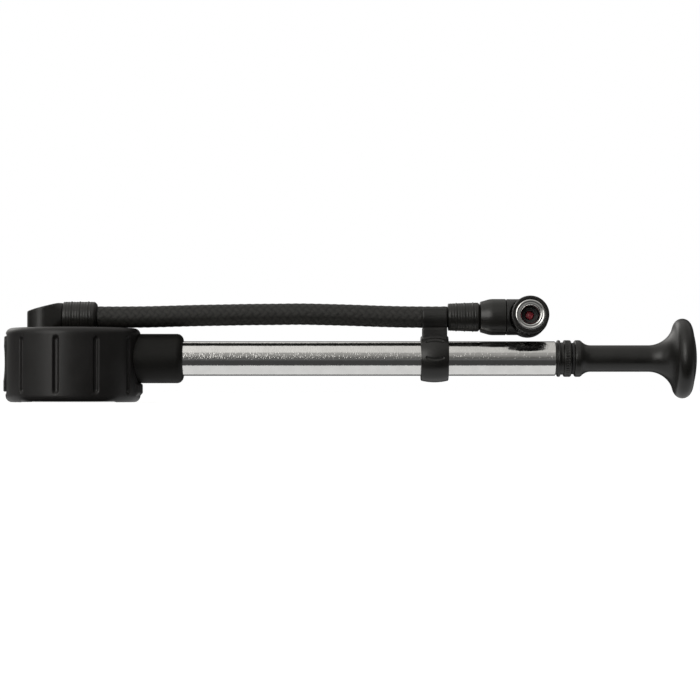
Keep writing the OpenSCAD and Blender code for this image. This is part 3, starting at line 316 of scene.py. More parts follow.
def makeHose():
    startX = spanOf("hose")[0]
    length = hose["route"][-1][0]
    rings = round(length / mm / hose["ringEvery"])
    strands, sides = hose["strands"], hose["sides"]
    bottom = hose["diameter"] / 2 - hose["strandCrown"] + hose["proud"]
    bm = bmesh.new()
    uvLayer = bm.loops.layers.uv.new("strands")
    overLayer = bm.verts.layers.float.new("over")
    rows = [bmesh.ops.create_circle(bm, segments=sides, radius=bottom)["verts"]]
    edges = bm.edges[:]
    for _ in range(rings):
        made = bmesh.ops.extrude_edge_only(bm, edges=edges)["geom"]
        edges = [part for part in made if isinstance(part, bmesh.types.BMEdge)
                 and all(vert in made for vert in part.verts)]
        rows.append([part for part in made if isinstance(part, bmesh.types.BMVert)])
    path = []
    strandPlace = {}
    for i, row in enumerate(rows):
        along = length * i / rings
        center = onHose + Vector((startX * mm + along, 0, routeHeight(along)))
        path.append(center)
        step = 0.1 * mm
        rise = routeHeight(min(along + step, length)) - routeHeight(max(along - step, 0))
        slope = math.atan2(rise, 2 * step)
        up = Vector((-math.sin(slope), 0, math.cos(slope)))
        fade = min(1, i / 2, (rings - i) / 2)  # the braid lies flat where the ferrules grip it
        for vert in row:
            angle = math.atan2(vert.co.y, vert.co.x)
            turns = angle / (2 * math.pi)
            wound = along / mm / hose["lead"]
            height, over = braidHeight(strands * (turns + wound), strands * (turns - wound))
            radius = (bottom + height * fade) * mm
            vert.co = center + radius * (math.cos(angle) * up + math.sin(angle) * Vector((0, 1, 0)))
            vert[overLayer] = over
            strandPlace[vert] = (turns, wound)
    for face in bm.faces:
        crosses = max(strandPlace[v][0] for v in face.verts) > 0.25
        for loop in face.loops:
            turns, wound = strandPlace[loop.vert]
            if crosses and turns < -0.25:
                turns += 1
            loop[uvLayer].uv = (strands * (turns + wound), strands * (turns - wound))
    bmesh.ops.holes_fill(bm, edges=[edge for edge in bm.edges if edge.is_boundary], sides=sides)
    faceOut(bm)
    return finishPiece("braided_hose", bm, "hose_arm", "hose_braid", ["hose"], sharp=60), path


hosePiece, hosePath = makeHose()

boot = {
    "round": 2.8,       # outer edges
    "rimRound": 0.4, "rimWidth": 1.0,
    "grooves": 4,       # on each side
    "grooveWidth": 2.9,
    "grooveDepth": 1.25,
    "grooveEdge": (0.5, 1.55),  # from its middle line, where its wall starts and ends
    "grooveLength": 24.6,
    "firstGroove": 30,  # degrees from the barrel
    "grooveStep": 34,
    "footRelief": 0.3, "reliefHalf": 20.0, "reliefFade": 0.5,
    "rimFade": 0.8, "wallFade": 1.6,  # height in which it fades at the inner rim and at the wall
    "gap": 0.05, "room": 0.2,  # to the housing, and how near to it nothing is grooved
    "bulgeOut": 1.0,
    "bulgeSide": (7.3, 8.7),  # where the bulge under the socket fades to the sides
    "bulgeFoot": (-16.2, -14.8),  # and where it starts and ends, from the barrel's axis
    "bulgeTop": (-11.4, -10.4),
    "steps": 720, "ringEvery": 0.55,
    "lipRound": 0.7,    # soft edge of the window and of the socket's hole
    "socketRadius": 10.75, "windowGap": 0.5, "windowCorner": 2.4, "cutDepth": 16, "sharp": 50,
}


# How far a soft edge falls away at some distance from an opening
def edgeFall(distance):
    size = boot["lipRound"]
    beyond = size - min(size, max(0, distance))
    return size - math.sqrt(size * size - beyond * beyond)


# Lifts the boot's foot off the ground between its two ends
def raiseFoot(vert, bottom, fade):
    share = 1 - soft(abs(vert.co.x), boot["reliefHalf"] - boot["reliefFade"],
                     boot["reliefHalf"] + boot["reliefFade"])
    vert.co.z += boot["footRelief"] * share * (1 - soft(vert.co.z, bottom, bottom + fade))


def makeBoot():
    bottom, top = spanOf("grip_boot", 2)
    lip, deckTop = spanOf("gauge_housing", 2)
    outer = radiusOf("grip_boot")
    housing = radiusOf("gauge_housing")
    inner, rim = housing + boot["gap"], housing - boot["rimWidth"]
    size = boot["round"]
    rise = bottom + size
    wallRings = round((top - bottom - 2 * size) / boot["ringEvery"])
    outline = [(bottom, rim, boot["rimRound"])]
    outline += arc(rise, outer - size, size, 180, 90, 8)
    outline += [(rise + i * (top - size - rise) / wallRings, outer, 0) for i in range(1, wallRings)]
    outline += arc(top - size, outer - size, size, 90, 0, 8)
    outline += [(top, rim, boot["rimRound"]), (deckTop, rim, 0), (deckTop, inner, 0),
                (lip, inner, 0), (lip, rim, 0)]
    bm = turned(outline, boot["steps"])
    socketHole = boot["socketRadius"]
    windowHalf = radiusOf("bleed_button") + boot["windowGap"]
    windowRise = radiusOf("bleed_button", 2) + boot["windowGap"]
    windowMiddle = sum(spanOf("bleed_button", 2)) / 2
    middle = (top + bottom) / 2
    halfRun = (boot["grooveLength"] - boot["grooveWidth"]) / 2
    for vert in bm.verts:
        radius = math.hypot(vert.co.x, vert.co.y)
        if radius < inner + boot["room"]:
            raiseFoot(vert, bottom, boot["rimFade"])
            continue
        angle = math.degrees(abs(math.atan2(vert.co.y, vert.co.x)))
        near = round((angle - boot["firstGroove"]) / boot["grooveStep"])
        near = min(boot["grooves"] - 1, max(0, near)) * boot["grooveStep"] + boot["firstGroove"]
        across = math.radians(angle - near) * outer
        beyond = max(0, abs(vert.co.z - middle) - halfRun)
        push = -boot["grooveDepth"] * (1 - soft(math.hypot(across, beyond), *boot["grooveEdge"]))
        if vert.co.x > 0:
            push -= edgeFall(math.hypot(vert.co.y, vert.co.z) - socketHole)
            within = 1 - soft(abs(vert.co.y), *boot["bulgeSide"])
            below = soft(vert.co.z, *boot["bulgeFoot"]) * (1 - soft(vert.co.z, *boot["bulgeTop"]))
            push += boot["bulgeOut"] * within * below
        else:
            push -= edgeFall(max(abs(vert.co.y) - windowHalf, abs(vert.co.z - windowMiddle) - windowRise))
        pushOut(vert, push)
        raiseFoot(vert, bottom, boot["wallFade"])
    piece = finishPiece("rubber_boot", bm, "pump_body", "boot_rubber", ["grip_boot"], boot["sharp"], upright)
    hole = bmesh.new()
    bmesh.ops.create_cone(hole, cap_ends=True, segments=96, radius1=socketHole, radius2=socketHole,
                          depth=outer)
    bmesh.ops.translate(hole, verts=hole.verts[:], vec=(0, 0, outer))
    putAt(hole, *alongTube)
    window = roundedBox((boot["cutDepth"], 2 * windowHalf, 2 * windowRise), boot["windowCorner"], 6)
    bmesh.ops.translate(window, verts=window.verts[:], vec=(-outer, 0, windowMiddle))
    putAt(window, *upright)
    cutAway(piece, [hole, window], boot["sharp"])


makeBoot()

button = {
    "width": 15.0, "height": 24.0, "thickness": 2.0,
    "corner": 2.0, "edge": 0.6, "dish": 0.5, "dishHalf": 7.5, "sliceEvery": 0.75, "postRadius": 1.5,
    "postRise": -9.0,  # from the barrel's axis
    "postBack": 0.3,   # how far the post starts behind the plate
    "topLean": 0.3,    # how much less the upper end stands out
}


def makeButton():
    front = -spanOf("bleed_button")[0]  # radius of its outer face about the gauge's axis
    postEnd = spanOf("bleed_button")[1]
    middle = sum(spanOf("bleed_button", 2)) / 2
    thick, width, height = button["thickness"], button["width"], button["height"]
    bm = roundedBox((thick, width, height), button["corner"], 8)
    rim = [edge for edge in bm.edges if abs(edge.verts[0].co.x - edge.verts[1].co.x) < 0.1]
    rounded(bm, rim, button["edge"], 4)
    for normal, size in ((Vector((0, 1, 0)), width), (zDir, height)):
        count = round(size / button["sliceEvery"])
        for i in range(1, count):
            bmesh.ops.bisect_plane(bm, geom=bm.verts[:] + bm.edges[:] + bm.faces[:], dist=1e-5,
                                   plane_co=normal * (size * (i / count - 0.5)), plane_no=normal)
    for vert in bm.verts:
        depth = vert.co.x + thick / 2  # 0 on the outer face
        angle = vert.co.y / front
        dished = button["dish"] * (1 - min(1, abs(vert.co.z) / button["dishHalf"]) ** 2)
        radius = front - depth - dished * (1 - soft(depth, 0, thick))
        radius -= button["topLean"] * soft(vert.co.z, 0, height / 2)
        vert.co = (-radius * math.cos(angle), radius * math.sin(angle), vert.co.z + middle)
    post = bmesh.ops.create_cone(bm, cap_ends=True, segments=32, radius1=button["postRadius"],
                                 radius2=button["postRadius"], depth=1)["verts"]
    postStart = thick - front - button["postBack"]
    for vert in post:
        along = postStart if vert.co.z < 0 else postEnd
        vert.co = (along, vert.co.y, vert.co.x + button["postRise"])
    faceOut(bm)
    finishPiece("bleed_thumb_button", bm, "bleed_valve", "moulded_black", ["bleed_button"], 50, upright)


makeButton()

moulded = {
    "voxel": 0.22,
    "elbowRounds": 30,  # how often each piece is smoothed
    "headRounds": 6,
    "clipRounds": 8,
}


# A soft-edged copy of a CAD node: its mesh is merged, remeshed finely and smoothed
def softCopy(name, node, body, rounds):
    bm = bmesh.new()
    bm.from_mesh(frame["nodes"][node].data)
    bmesh.ops.remove_doubles(bm, verts=bm.verts[:], dist=1e-6)
    piece = finishPiece(name, bm, body, "moulded_black", [node])
    addStep(piece, "REMESH", mode="VOXEL", voxel_size=moulded["voxel"] * mm)
    addStep(piece, "SMOOTH", factor=0.5, iterations=rounds)
    bakeModifiers(piece)
    piece.data.shade_smooth()
    print("remeshed", name, len(piece.data.polygons), "faces")
    return piece


softCopy("hose_elbow", "swivel_elbow", "hose_arm", moulded["elbowRounds"])
softCopy("valve_head_body", "head_body", "valve_head", moulded["headRounds"])

clip = {
    "grooves": ((7.8, -0.5), (-0.4, 0.6)),  # height of each arc above the barrel's axis, and its bend
    "grooveHalf": 3.4, "grooveEdge": (0.15, 0.65), "grooveDepth": 0.4,
    "frontFrom": 3.0,  # only the side towards the camera has them
}


def makeClip():
    piece = softCopy("barrel_clip", "hose_clip", "pump_body", moulded["clipRounds"])
    middle = sum(spanOf("hose_clip")) / 2 * mm + gaugeAt.x
    for vert in piece.data.vertices:
        if vert.co.y > -clip["frontFrom"] * mm:
            continue
        across = (vert.co.x - middle) / mm
        rise = (vert.co.z - tubeZ) / mm
        for height, bend in clip["grooves"]:
            line = height + bend * (across / clip["grooveHalf"]) ** 2
            beyond = max(0, abs(across) - clip["grooveHalf"])
            depth = clip["grooveDepth"] * (1 - soft(math.hypot(rise - line, beyond), *clip["grooveEdge"]))
            inward = Vector((0, vert.co.y, vert.co.z - tubeZ)).normalized()
            vert.co -= inward * depth * mm
    piece.data.update()


makeClip()

ferrule = {
    "bore": 2.45, "ringOut": 0.2, "ringWidth": 0.5, "ringPitch": 3.6, "firstRing": 3.3,
    "linesPerRing": 3,  # a full ring, and the fine lines between it and the next
    "lineOut": 0.05, "lineHalf": 0.2,
    "lineFoot": 0.1,  # how much wider a ring or line is at its foot
    "lineRound": 0.06,
    "chamfer": 1.0,
    "chamferRound": 0.3,
    "chamferRoom": 0.4,  # free of lines
    "footRound": 0.25,
    "gaugeRadii": (6.6, 6.6),
    "headRadii": (5.85, 6.3),
}


def makeFerrule(name, node, startRadius, endRadius):
    start, end = spanOf(node)
    bore, chamfer, size = ferrule["bore"], ferrule["chamfer"], ferrule["lineRound"]
    outline = [(start, bore, 0), (start, startRadius, ferrule["footRound"])]
    linePitch = ferrule["ringPitch"] / ferrule["linesPerRing"]
    firstLine = start + ferrule["firstRing"] + ferrule["ringWidth"] / 2 - 2 * linePitch
    lines = math.floor((end - chamfer - ferrule["chamferRoom"] - firstLine) / linePitch) + 1
    for i in range(lines):
        along = firstLine + linePitch * i
        radius = startRadius + (endRadius - startRadius) * (along - start) / (end - start)
        half, out = ferrule["lineHalf"], ferrule["lineOut"]
        if (i - 2) % ferrule["linesPerRing"] == 0:
            half, out = ferrule["ringWidth"] / 2, ferrule["ringOut"]
        foot = half + ferrule["lineFoot"]
        outline += [(along - foot, radius, size), (along - half, radius + out, size),
                    (along + half, radius + out, size), (along + foot, radius, size)]
    outline += [(end - chamfer, endRadius, ferrule["chamferRound"]),
                (end, endRadius - chamfer, ferrule["chamferRound"]), (end, bore, 0)]
    return turnedPiece(name, outline, 112, alongHose, "hose_arm", "ferrule_black", node)


makeFerrule("hose_ferrule_gauge", "gauge_ferrule", *ferrule["gaugeRadii"])
headFerrule = makeFerrule("hose_ferrule_head", "head_ferrule", *ferrule["headRadii"])

nut = {
    "cone": 4.3, "footRadius": 6.6, "bore": 2.45, "seatBore": 3.15, "seatDepth": 3.0,
}


def makeNut():
    start, end = spanOf("swivel_nut")
    radius = radiusOf("swivel_nut")
    outline = [(start, nut["bore"], 0), (start, nut["footRadius"], 0.25), (start + nut["cone"], radius, 1.2),
               (end, radius, 0.35), (end, nut["seatBore"], 0), (end - nut["seatDepth"], nut["seatBore"], 0),
               (end - nut["seatDepth"], nut["bore"], 0)]
    return turnedPiece("valve_head_nut", outline, 112, alongHose, "hose_arm", "ferrule_black", "swivel_nut")


headNut = makeNut()

collar = {
    "ribs": 30, "perRib": 10, "ribDepth": 0.3, "ribEnds": 0.9, "ribFade": 0.2,
    "edge": 0.5, "postRadius": 5.45, "insertRadius": 6.65, "clipRoom": 6.2, "clipGap": 0.3,
}


# Distances along the chuck's axis, in front of the hose's axis
def chuckSpan(node):
    along = [(vert.co - headAt).dot(chuckDir) / mm for vert in frame["nodes"][node].data.vertices]
    return min(along), max(along)


def makeCollar():
    back, front = chuckSpan("chuck_collar")
    insertBack = chuckSpan("chuck_insert")[0]
    clipBack = chuckSpan("collar_clip")[0] - collar["clipGap"]
    radius = radiusOf("chuck_collar", 0)
    fade = collar["ribFade"]
    ribStart = back + collar["ribEnds"]
    ribEnd = front - collar["ribEnds"]
    post, inside, clipRoom = collar["postRadius"], collar["insertRadius"], collar["clipRoom"]
    outline = [(back, post, 0), (back, radius, collar["edge"])]
    outline += [(at + aside, radius, 0) for at in (ribStart, ribEnd) for aside in (-0.25, 0, 0.25)]
    outline += [(front, radius, collar["edge"]), (front, inside, 0.12), (insertBack, inside, 0),
                (insertBack, clipRoom, 0), (clipBack, clipRoom, 0), (clipBack, post, 0)]
    bm = turned(outline, collar["ribs"] * collar["perRib"])
    pressRibs(bm, radius, collar, 0, 1.5, lambda z: (
        soft(z, ribStart - fade, ribStart + fade) * (1 - soft(z, ribEnd - fade, ribEnd + fade))))
    finishPiece("chuck_grip_collar", bm, "chuck", "collar_black", ["chuck_collar"], 60, alongChuck)


makeCollar()

insert = {
    "bore": 3.85, "lip": 0.45, "face": 0.5, "slope": 0.8, "dish": 0.25, "mouth": 0.7, "mouthDepth": 0.9,
}


def makeInsert():
    back, front = chuckSpan("chuck_insert")
    radius = radiusOf("chuck_insert", 0)
    bore, dish = insert["bore"], insert["dish"]
    inside = radius - insert["lip"]
    outline = [(back, bore, 0), (back, radius, 0.1), (front - insert["lip"], radius, 0.12),
               (front, inside, 0.18), (front, inside - insert["face"], 0.12),
               (front - dish, inside - insert["slope"], 0.15),
               (front - dish * 0.6, bore + insert["mouth"], 0.2), (front - insert["mouthDepth"], bore, 0.25)]
    turnedPiece("chuck_thread_ring", outline, 144, alongChuck, "chuck", "insert_chrome", "chuck_insert")


makeInsert()

pusher = {
    "radius": 1.7, "flange": 0.55, "flangeThickness": 1.1, "dome": 0.45,
}


def makePusher():
    back, front = chuckSpan("valve_pusher")
    radius, dome = pusher["radius"], pusher["dome"]
    wide = radius + pusher["flange"]
    flangeEnd = back + pusher["flangeThickness"]
    outline = [(back, 0, 0), (back, wide, 0.1), (flangeEnd, wide, 0.15), (flangeEnd, radius, 0.1),
               (front - dome, radius, 0.3)]
    outline += [(front - dome * (k / 6) ** 2, radius * k / 6, 0) for k in (5, 4, 3, 2, 1, 0)]
    bm = turned(outline, 64, closed=False)
    finishPiece("red_pusher", bm, "valve_head", "pusher_red", ["valve_pusher"], place=alongChuck)


makePusher()

barrel = {
    "wall": 1.5, "chamfer": 0.35,
}


def makeBarrel():
    start, end = spanOf("barrel")
    radius = radiusOf("barrel")
    bore = radius - barrel["wall"]
    outline = [(start, bore, 0), (start, radius, 0.2), (end - barrel["chamfer"], radius, 0.12),
               (end, radius - barrel["chamfer"], 0.12), (end, bore, 0)]
    turnedPiece("polished_barrel", outline, 256, alongTube, "pump_body", "barrel_aluminium", "barrel")


makeBarrel()

cap = {
    "rodBore": 4.05, "wiperBore": 5.4, "wiperDepth": 2.4, "plug": 5.95,
    "groove": 7.0, "lip": 0.6, "ringWidth": 1.4, "grooveWidth": 1.4,
    "ribs": 40, "perRib": 8, "ribDepth": 0.2, "ribEnds": (0.7, 0.8),
}


def makeCap():
    start, end = spanOf("end_cap")
    barrelEnd = spanOf("barrel")[1]
    radius = radiusOf("end_cap")
    groove, plug = cap["groove"], cap["plug"]
    ringStart = barrelEnd + cap["lip"]
    ringEnd = ringStart + cap["ringWidth"]
    knurlStart = ringEnd + cap["grooveWidth"]
    ribStart, ribEnd = knurlStart + cap["ribEnds"][0], end - cap["ribEnds"][1]
    wiperEnd = end - cap["wiperDepth"]
    outline = [(start, cap["rodBore"], 0), (start, plug, 0.3), (barrelEnd, plug, 0),
               (barrelEnd, groove, 0), (ringStart, groove, 0.1), (ringStart, radius, 0.5),
               (ringEnd, radius, 0.5), (ringEnd, groove, 0.15), (knurlStart, groove, 0.15),
               (knurlStart, radius, 0.65), (ribStart, radius, 0), (ribStart + 0.3, radius, 0),
               (ribEnd - 0.3, radius, 0), (ribEnd, radius, 0), (end, radius, 0.75),
               (end, cap["wiperBore"], 0.1), (wiperEnd, cap["wiperBore"], 0), (wiperEnd, cap["rodBore"], 0)]
    bm = turned(outline, cap["ribs"] * cap["perRib"])
    pressRibs(bm, radius, cap, math.pi, 1, lambda z: ribStart + 0.1 < z < ribEnd - 0.1)
    evenNormals(finishPiece("barrel_end_cap", bm, "pump_body", "moulded_black", ["end_cap"], 60, alongTube))


makeCap()

handle = {
    "rodBore": 4.02, "rodGrip": 27.0, "collarRadius": 7.95, "collarWidth": 3.1, "shoulder": 0.8,
    "footRadius": 5.5, "footLength": 4.1, "shaftRadius": 5.75, "shaftLength": 32.2,
    "flareRadius": 11.5, "rimRadius": 3.8, "crown": 2.1,
}


def makeHandle():
    start, end = spanOf("handle")
    shaft, foot, flare = handle["shaftRadius"], handle["footRadius"], handle["flareRadius"]
    rim, crown, shoulder = handle["rimRadius"], handle["crown"], handle["shoulder"]
    gripEnd = start + handle["rodGrip"]
    collarEnd = start + handle["collarWidth"]
    flareStart = start + handle["shaftLength"]
    rimCenter = radiusOf("handle") - rim
    rimAlong = end - crown - rim
    flareCenter = shaft + flare
    lean = math.degrees(math.atan2(rimAlong - flareStart, flareCenter - rimCenter))
    footAngle = math.degrees(math.asin(handle["footLength"] / foot))
    crownRadius = (rimCenter ** 2 + crown ** 2) / (2 * crown)
    crownHalf = math.degrees(math.asin(rimCenter / crownRadius))
    outline = [(gripEnd, 0, 0), (gripEnd, handle["rodBore"], 0), (start, handle["rodBore"], 0),
               (start, handle["collarRadius"], 0.9)]
    outline += arc(collarEnd - shoulder, handle["collarRadius"] - shoulder, shoulder, 90, 35, 6)
    outline += arc(collarEnd + handle["footLength"], shaft + foot, foot, 270 - footAngle, 270, 8)
    outline += arc(flareStart, flareCenter, flare, 270, 270 + lean, 24)
    outline += arc(rimAlong, rimCenter, rim, 90 + lean, 0, 28)[1:]
    outline += arc(end - crownRadius, 0, crownRadius, crownHalf, 0, 14)[1:]
    turnedPiece("pump_handle", outline, 144, alongTube, "plunger", "moulded_black", "handle",
                closed=False, sharp=60)


makeHandle()

dial = {
    "highest": 300, "numberStep": 50, "tickStep": 10,
    "startAngle": 45.0,   # of the zero mark, counter-clockwise from the barrel, seen from above
    "sweep": 270.0, "tickRadius": 19.2, "numberRadius": 13.6, "numberSize": 3.1,
    "longTick": 2.6, "shortTick": 1.4, "tickWidth": 0.28, "raise": 0.05,
    "arcGap": 0.15, "arcGrowth": 1.016,
}


# Marks and numbers on the dial, which is read from below
def makeDialMarks():
    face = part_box("dial_face")[0].z
    thick = dial["raise"]
    bm = bmesh.new()
    count = dial["highest"] // dial["tickStep"]
    for i in range(count + 1):
        value = i * dial["tickStep"]
        angle = math.radians(dial["startAngle"] + dial["sweep"] * i / count)
        length = dial["longTick"] if value % dial["numberStep"] == 0 else dial["shortTick"]
        made = bmesh.ops.create_cube(bm, size=1)["verts"]
        bmesh.ops.scale(bm, vec=(length, dial["tickWidth"], thick), verts=made)
        bmesh.ops.translate(bm, vec=(dial["tickRadius"] - length / 2, 0, -thick / 2), verts=made)
        bmesh.ops.rotate(bm, cent=(0, 0, 0), matrix=Matrix.Rotation(angle, 3, "Z"), verts=made)
    arcMark = bmesh.ops.create_circle(bm, segments=180, radius=dial["tickRadius"] + dial["arcGap"])["verts"]
    rim = list({edge for vert in arcMark for edge in vert.link_edges})
    widened = bmesh.ops.extrude_edge_only(bm, edges=rim)["geom"]
    outer = [part for part in widened if isinstance(part, bmesh.types.BMVert)]
    bmesh.ops.scale(bm, vec=(dial["arcGrowth"], dial["arcGrowth"], 1), verts=outer)
    bmesh.ops.translate(bm, vec=(0, 0, -thick), verts=outer + arcMark)
    bm.transform(Matrix.Translation((gaugeAt.x, 0, face)) @ Matrix.Scale(mm, 4))
    for value in range(0, dial["highest"] + 1, dial["numberStep"]):
        text = bpy.data.curves.new("number", "FONT")
        text.body = str(value)
        text.size = dial["numberSize"]
        text.extrude = thick / 2
        text.align_x = text.align_y = "CENTER"
        holder = placed("number", text)
        bpy.context.view_layer.update()
        shape = bpy.data.meshes.new_from_object(holder)
        angle = math.radians(dial["startAngle"] + dial["sweep"] * value / dial["highest"])
        spot = Vector((math.cos(angle), math.sin(angle), 0)) * dial["numberRadius"] * mm
        below = Matrix(((0, -1, 0), (-1, 0, 0), (0, 0, -1))).to_4x4()
        lift = Vector((gaugeAt.x, 0, face - thick / 2 * mm))
        shape.transform(Matrix.Translation(spot + lift) @ below @ Matrix.Scale(mm, 4))
        bm.from_mesh(shape)
        bpy.data.objects.remove(holder)
        bpy.data.meshes.remove(shape)
    return finishPiece("dial_marks", bm, "pump_body", "dial_white", [])


dialMarks = makeDialMarks()

print("hose declared,", len(hosePath), "points on its path")


# Sets a node's inputs: a number or colour is written in, a socket is linked
def setInputs(tree, node, inputs):
    for key, value in inputs.items():
        if isinstance(value, bpy.types.NodeSocket):
            tree.links.new(value, node.inputs[key])
        else:
            node.inputs[key].default_value = value


def addNode(tree, kind, inputs=None, **settings):
    node = tree.nodes.new("ShaderNode" + kind)
    for key, value in settings.items():
        setattr(node, key, value)
    setInputs(tree, node, inputs or {})
    return node


def mathNode(tree, operation, first, second=0.0, third=0.0):
    node = addNode(tree, "Math", {0: first, 1: second, 2: third}, operation=operation)
    return node.outputs[0]


def times(tree, first, second):
    return mathNode(tree, "MULTIPLY", first, second)


# A value that climbs smoothly from 0 to 1 between two limits
def smoothStep(tree, value, low, high, start=0.0, end=1.0):
    node = addNode(tree, "MapRange", {"Value": value, "From Min": low, "From Max": high,
                                                "To Min": start, "To Max": end},
                   interpolation_type="SMOOTHSTEP")
    return node.outputs[0]


# 1 between the two inner limits and 0 beyond the two outer ones
def band(tree, value, rise, full, fullEnd, fall):
    return times(tree, smoothStep(tree, value, rise, full), smoothStep(tree, value, fullEnd, fall, 1.0, 0.0))


# Stretches 0 to 1 over another range
def ranged(tree, value, low, high):
    return addNode(tree, "MapRange", {"Value": value, "To Min": low, "To Max": high}).outputs[0]


def mixColour(tree, factor, first, second, blend="MIX"):
    node = addNode(tree, "Mix", {0: factor, 6: first, 7: second},
                   data_type="RGBA", blend_type=blend)
    return node.outputs[2]


def mixValue(tree, factor, first, second):
    return addNode(tree, "Mix", {0: factor, 2: first, 3: second}, data_type="FLOAT").outputs[0]


# The scale at which a texture has features of a size in millimetres
def scaleFor(tree, size):
    return mathNode(tree, "DIVIDE", 1 / mm, size)


def scaledPlace(tree, given, key):
    return addNode(tree, "VectorMath", {0: given["Vector"], "Scale": scaleFor(tree, given[key])},
                   operation="SCALE").outputs[0]


def noiseOf(tree, vector, detail, rough=0.5, scale=1.0):
    return addNode(tree, "TexNoise", {"Vector": vector, "Scale": scale, "Detail": detail,
                                                "Roughness": rough}).outputs["Fac"]


def splitOf(tree, vector):
    return addNode(tree, "SeparateXYZ", {"Vector": vector}).outputs


def grey(level):
    return (level, level, level, 1)


# A group with a vector and some numbers as inputs
def newGroup(name, inputs, outputs):
    tree = bpy.data.node_groups.new(name, "ShaderNodeTree")
    tree.interface.new_socket("Vector", in_out="INPUT", socket_type="NodeSocketVector")
    for label, value in inputs.items():
        socket = tree.interface.new_socket(label, in_out="INPUT", socket_type="NodeSocketFloat")
        socket.default_value = value
    for label in outputs:
        tree.interface.new_socket(label, in_out="OUTPUT", socket_type="NodeSocketFloat")
    entry = tree.nodes.new("NodeGroupInput")
    leave = tree.nodes.new("NodeGroupOutput")
    return tree, entry.outputs, leave.inputs


def useGroup(tree, group, inputs):
    return addNode(tree, "Group", inputs, node_tree=group).outputs


# Fine moulding texture and broad patches of a slightly other shade; sizes in millimetres
def makeGrainGroup():
    tree, given, result = newGroup("mouldGrain", {"Grain": 0.3, "Patch": 6.0}, ["Height", "Patches"])
    fine = noiseOf(tree, scaledPlace(tree, given, "Grain"), 3.0, 0.55)
    broad = noiseOf(tree, scaledPlace(tree, given, "Patch"), 4.0, 0.6)
    tree.links.new(fine, result["Height"])
    tree.links.new(smoothStep(tree, broad, 0.3, 0.7), result["Patches"])
    return tree


# Light handling marks: sparse specks of dust and short rubbed streaks
def makeScuffGroup():
    tree, given, result = newGroup("handlingMarks", {"Size": 1.2, "Amount": 0.5}, ["Mask"])
    place = scaledPlace(tree, given, "Size")
    specks = addNode(tree, "TexVoronoi", {"Vector": place, "Scale": 1.0}, feature="F1")
    near = smoothStep(tree, specks.outputs["Distance"], 0.05, 0.16, 1.0, 0.0)
    long = addNode(tree, "Mapping", {"Vector": place, "Scale": (0.35, 1.4, 2.6),
                                               "Rotation": (0.4, 0.2, 0.5)}).outputs[0]
    rubbed = smoothStep(tree, noiseOf(tree, long, 5.0, 0.7), 0.6, 0.78)
    patch = smoothStep(tree, noiseOf(tree, place, 2.0, scale=0.22), 0.46, 0.62)
    both = mathNode(tree, "MAXIMUM", times(tree, near, 0.7), rubbed)
    tree.links.new(times(tree, times(tree, both, patch), given["Amount"]), result["Mask"])
    return tree


# Fine lines left by turning or drawing: bands across an axis, broken up a little along them
def makeTurnedGroup():
    tree, given, result = newGroup("turnedLines", {"Pitch": 0.3, "Run": 8.0}, ["Height", "Specks"])
    parts = splitOf(tree, given["Vector"])
    runScale = scaleFor(tree, given["Run"])
    stretched = addNode(tree, "CombineXYZ", {
        "X": times(tree, parts[0], scaleFor(tree, given["Pitch"])),
        "Y": times(tree, parts[1], runScale), "Z": times(tree, parts[2], runScale)}).outputs[0]
    tree.links.new(noiseOf(tree, stretched, 3.0, 0.6), result["Height"])
    tree.links.new(smoothStep(tree, noiseOf(tree, stretched, 1.0), 0.50, 0.68), result["Specks"])
    return tree


grainGroup = makeGrainGroup()
scuffGroup = makeScuffGroup()
turnedGroup = makeTurnedGroup()


def newMaterial(name):
    material = bpy.data.materials.new(name)
    material.use_nodes = True
    tree = material.node_tree
    place = addNode(tree, "TexCoord").outputs["Object"]
    return material, tree, tree.nodes["Principled BSDF"], place


def bumpOf(tree, height, depth):
    node = addNode(tree, "Bump", {"Height": height, "Distance": depth * mm, "Strength": 1.0})
    return node.outputs["Normal"]


def shadesOf(values):
    return (*values["dark"], 1), (*values["light"], 1)


# Roughness that wanders by the finish's spread
def roughnessOf(tree, mask, values):
    return ranged(tree, mask, values["rough"] - values["spread"] / 2, values["rough"] + values["spread"] / 2)


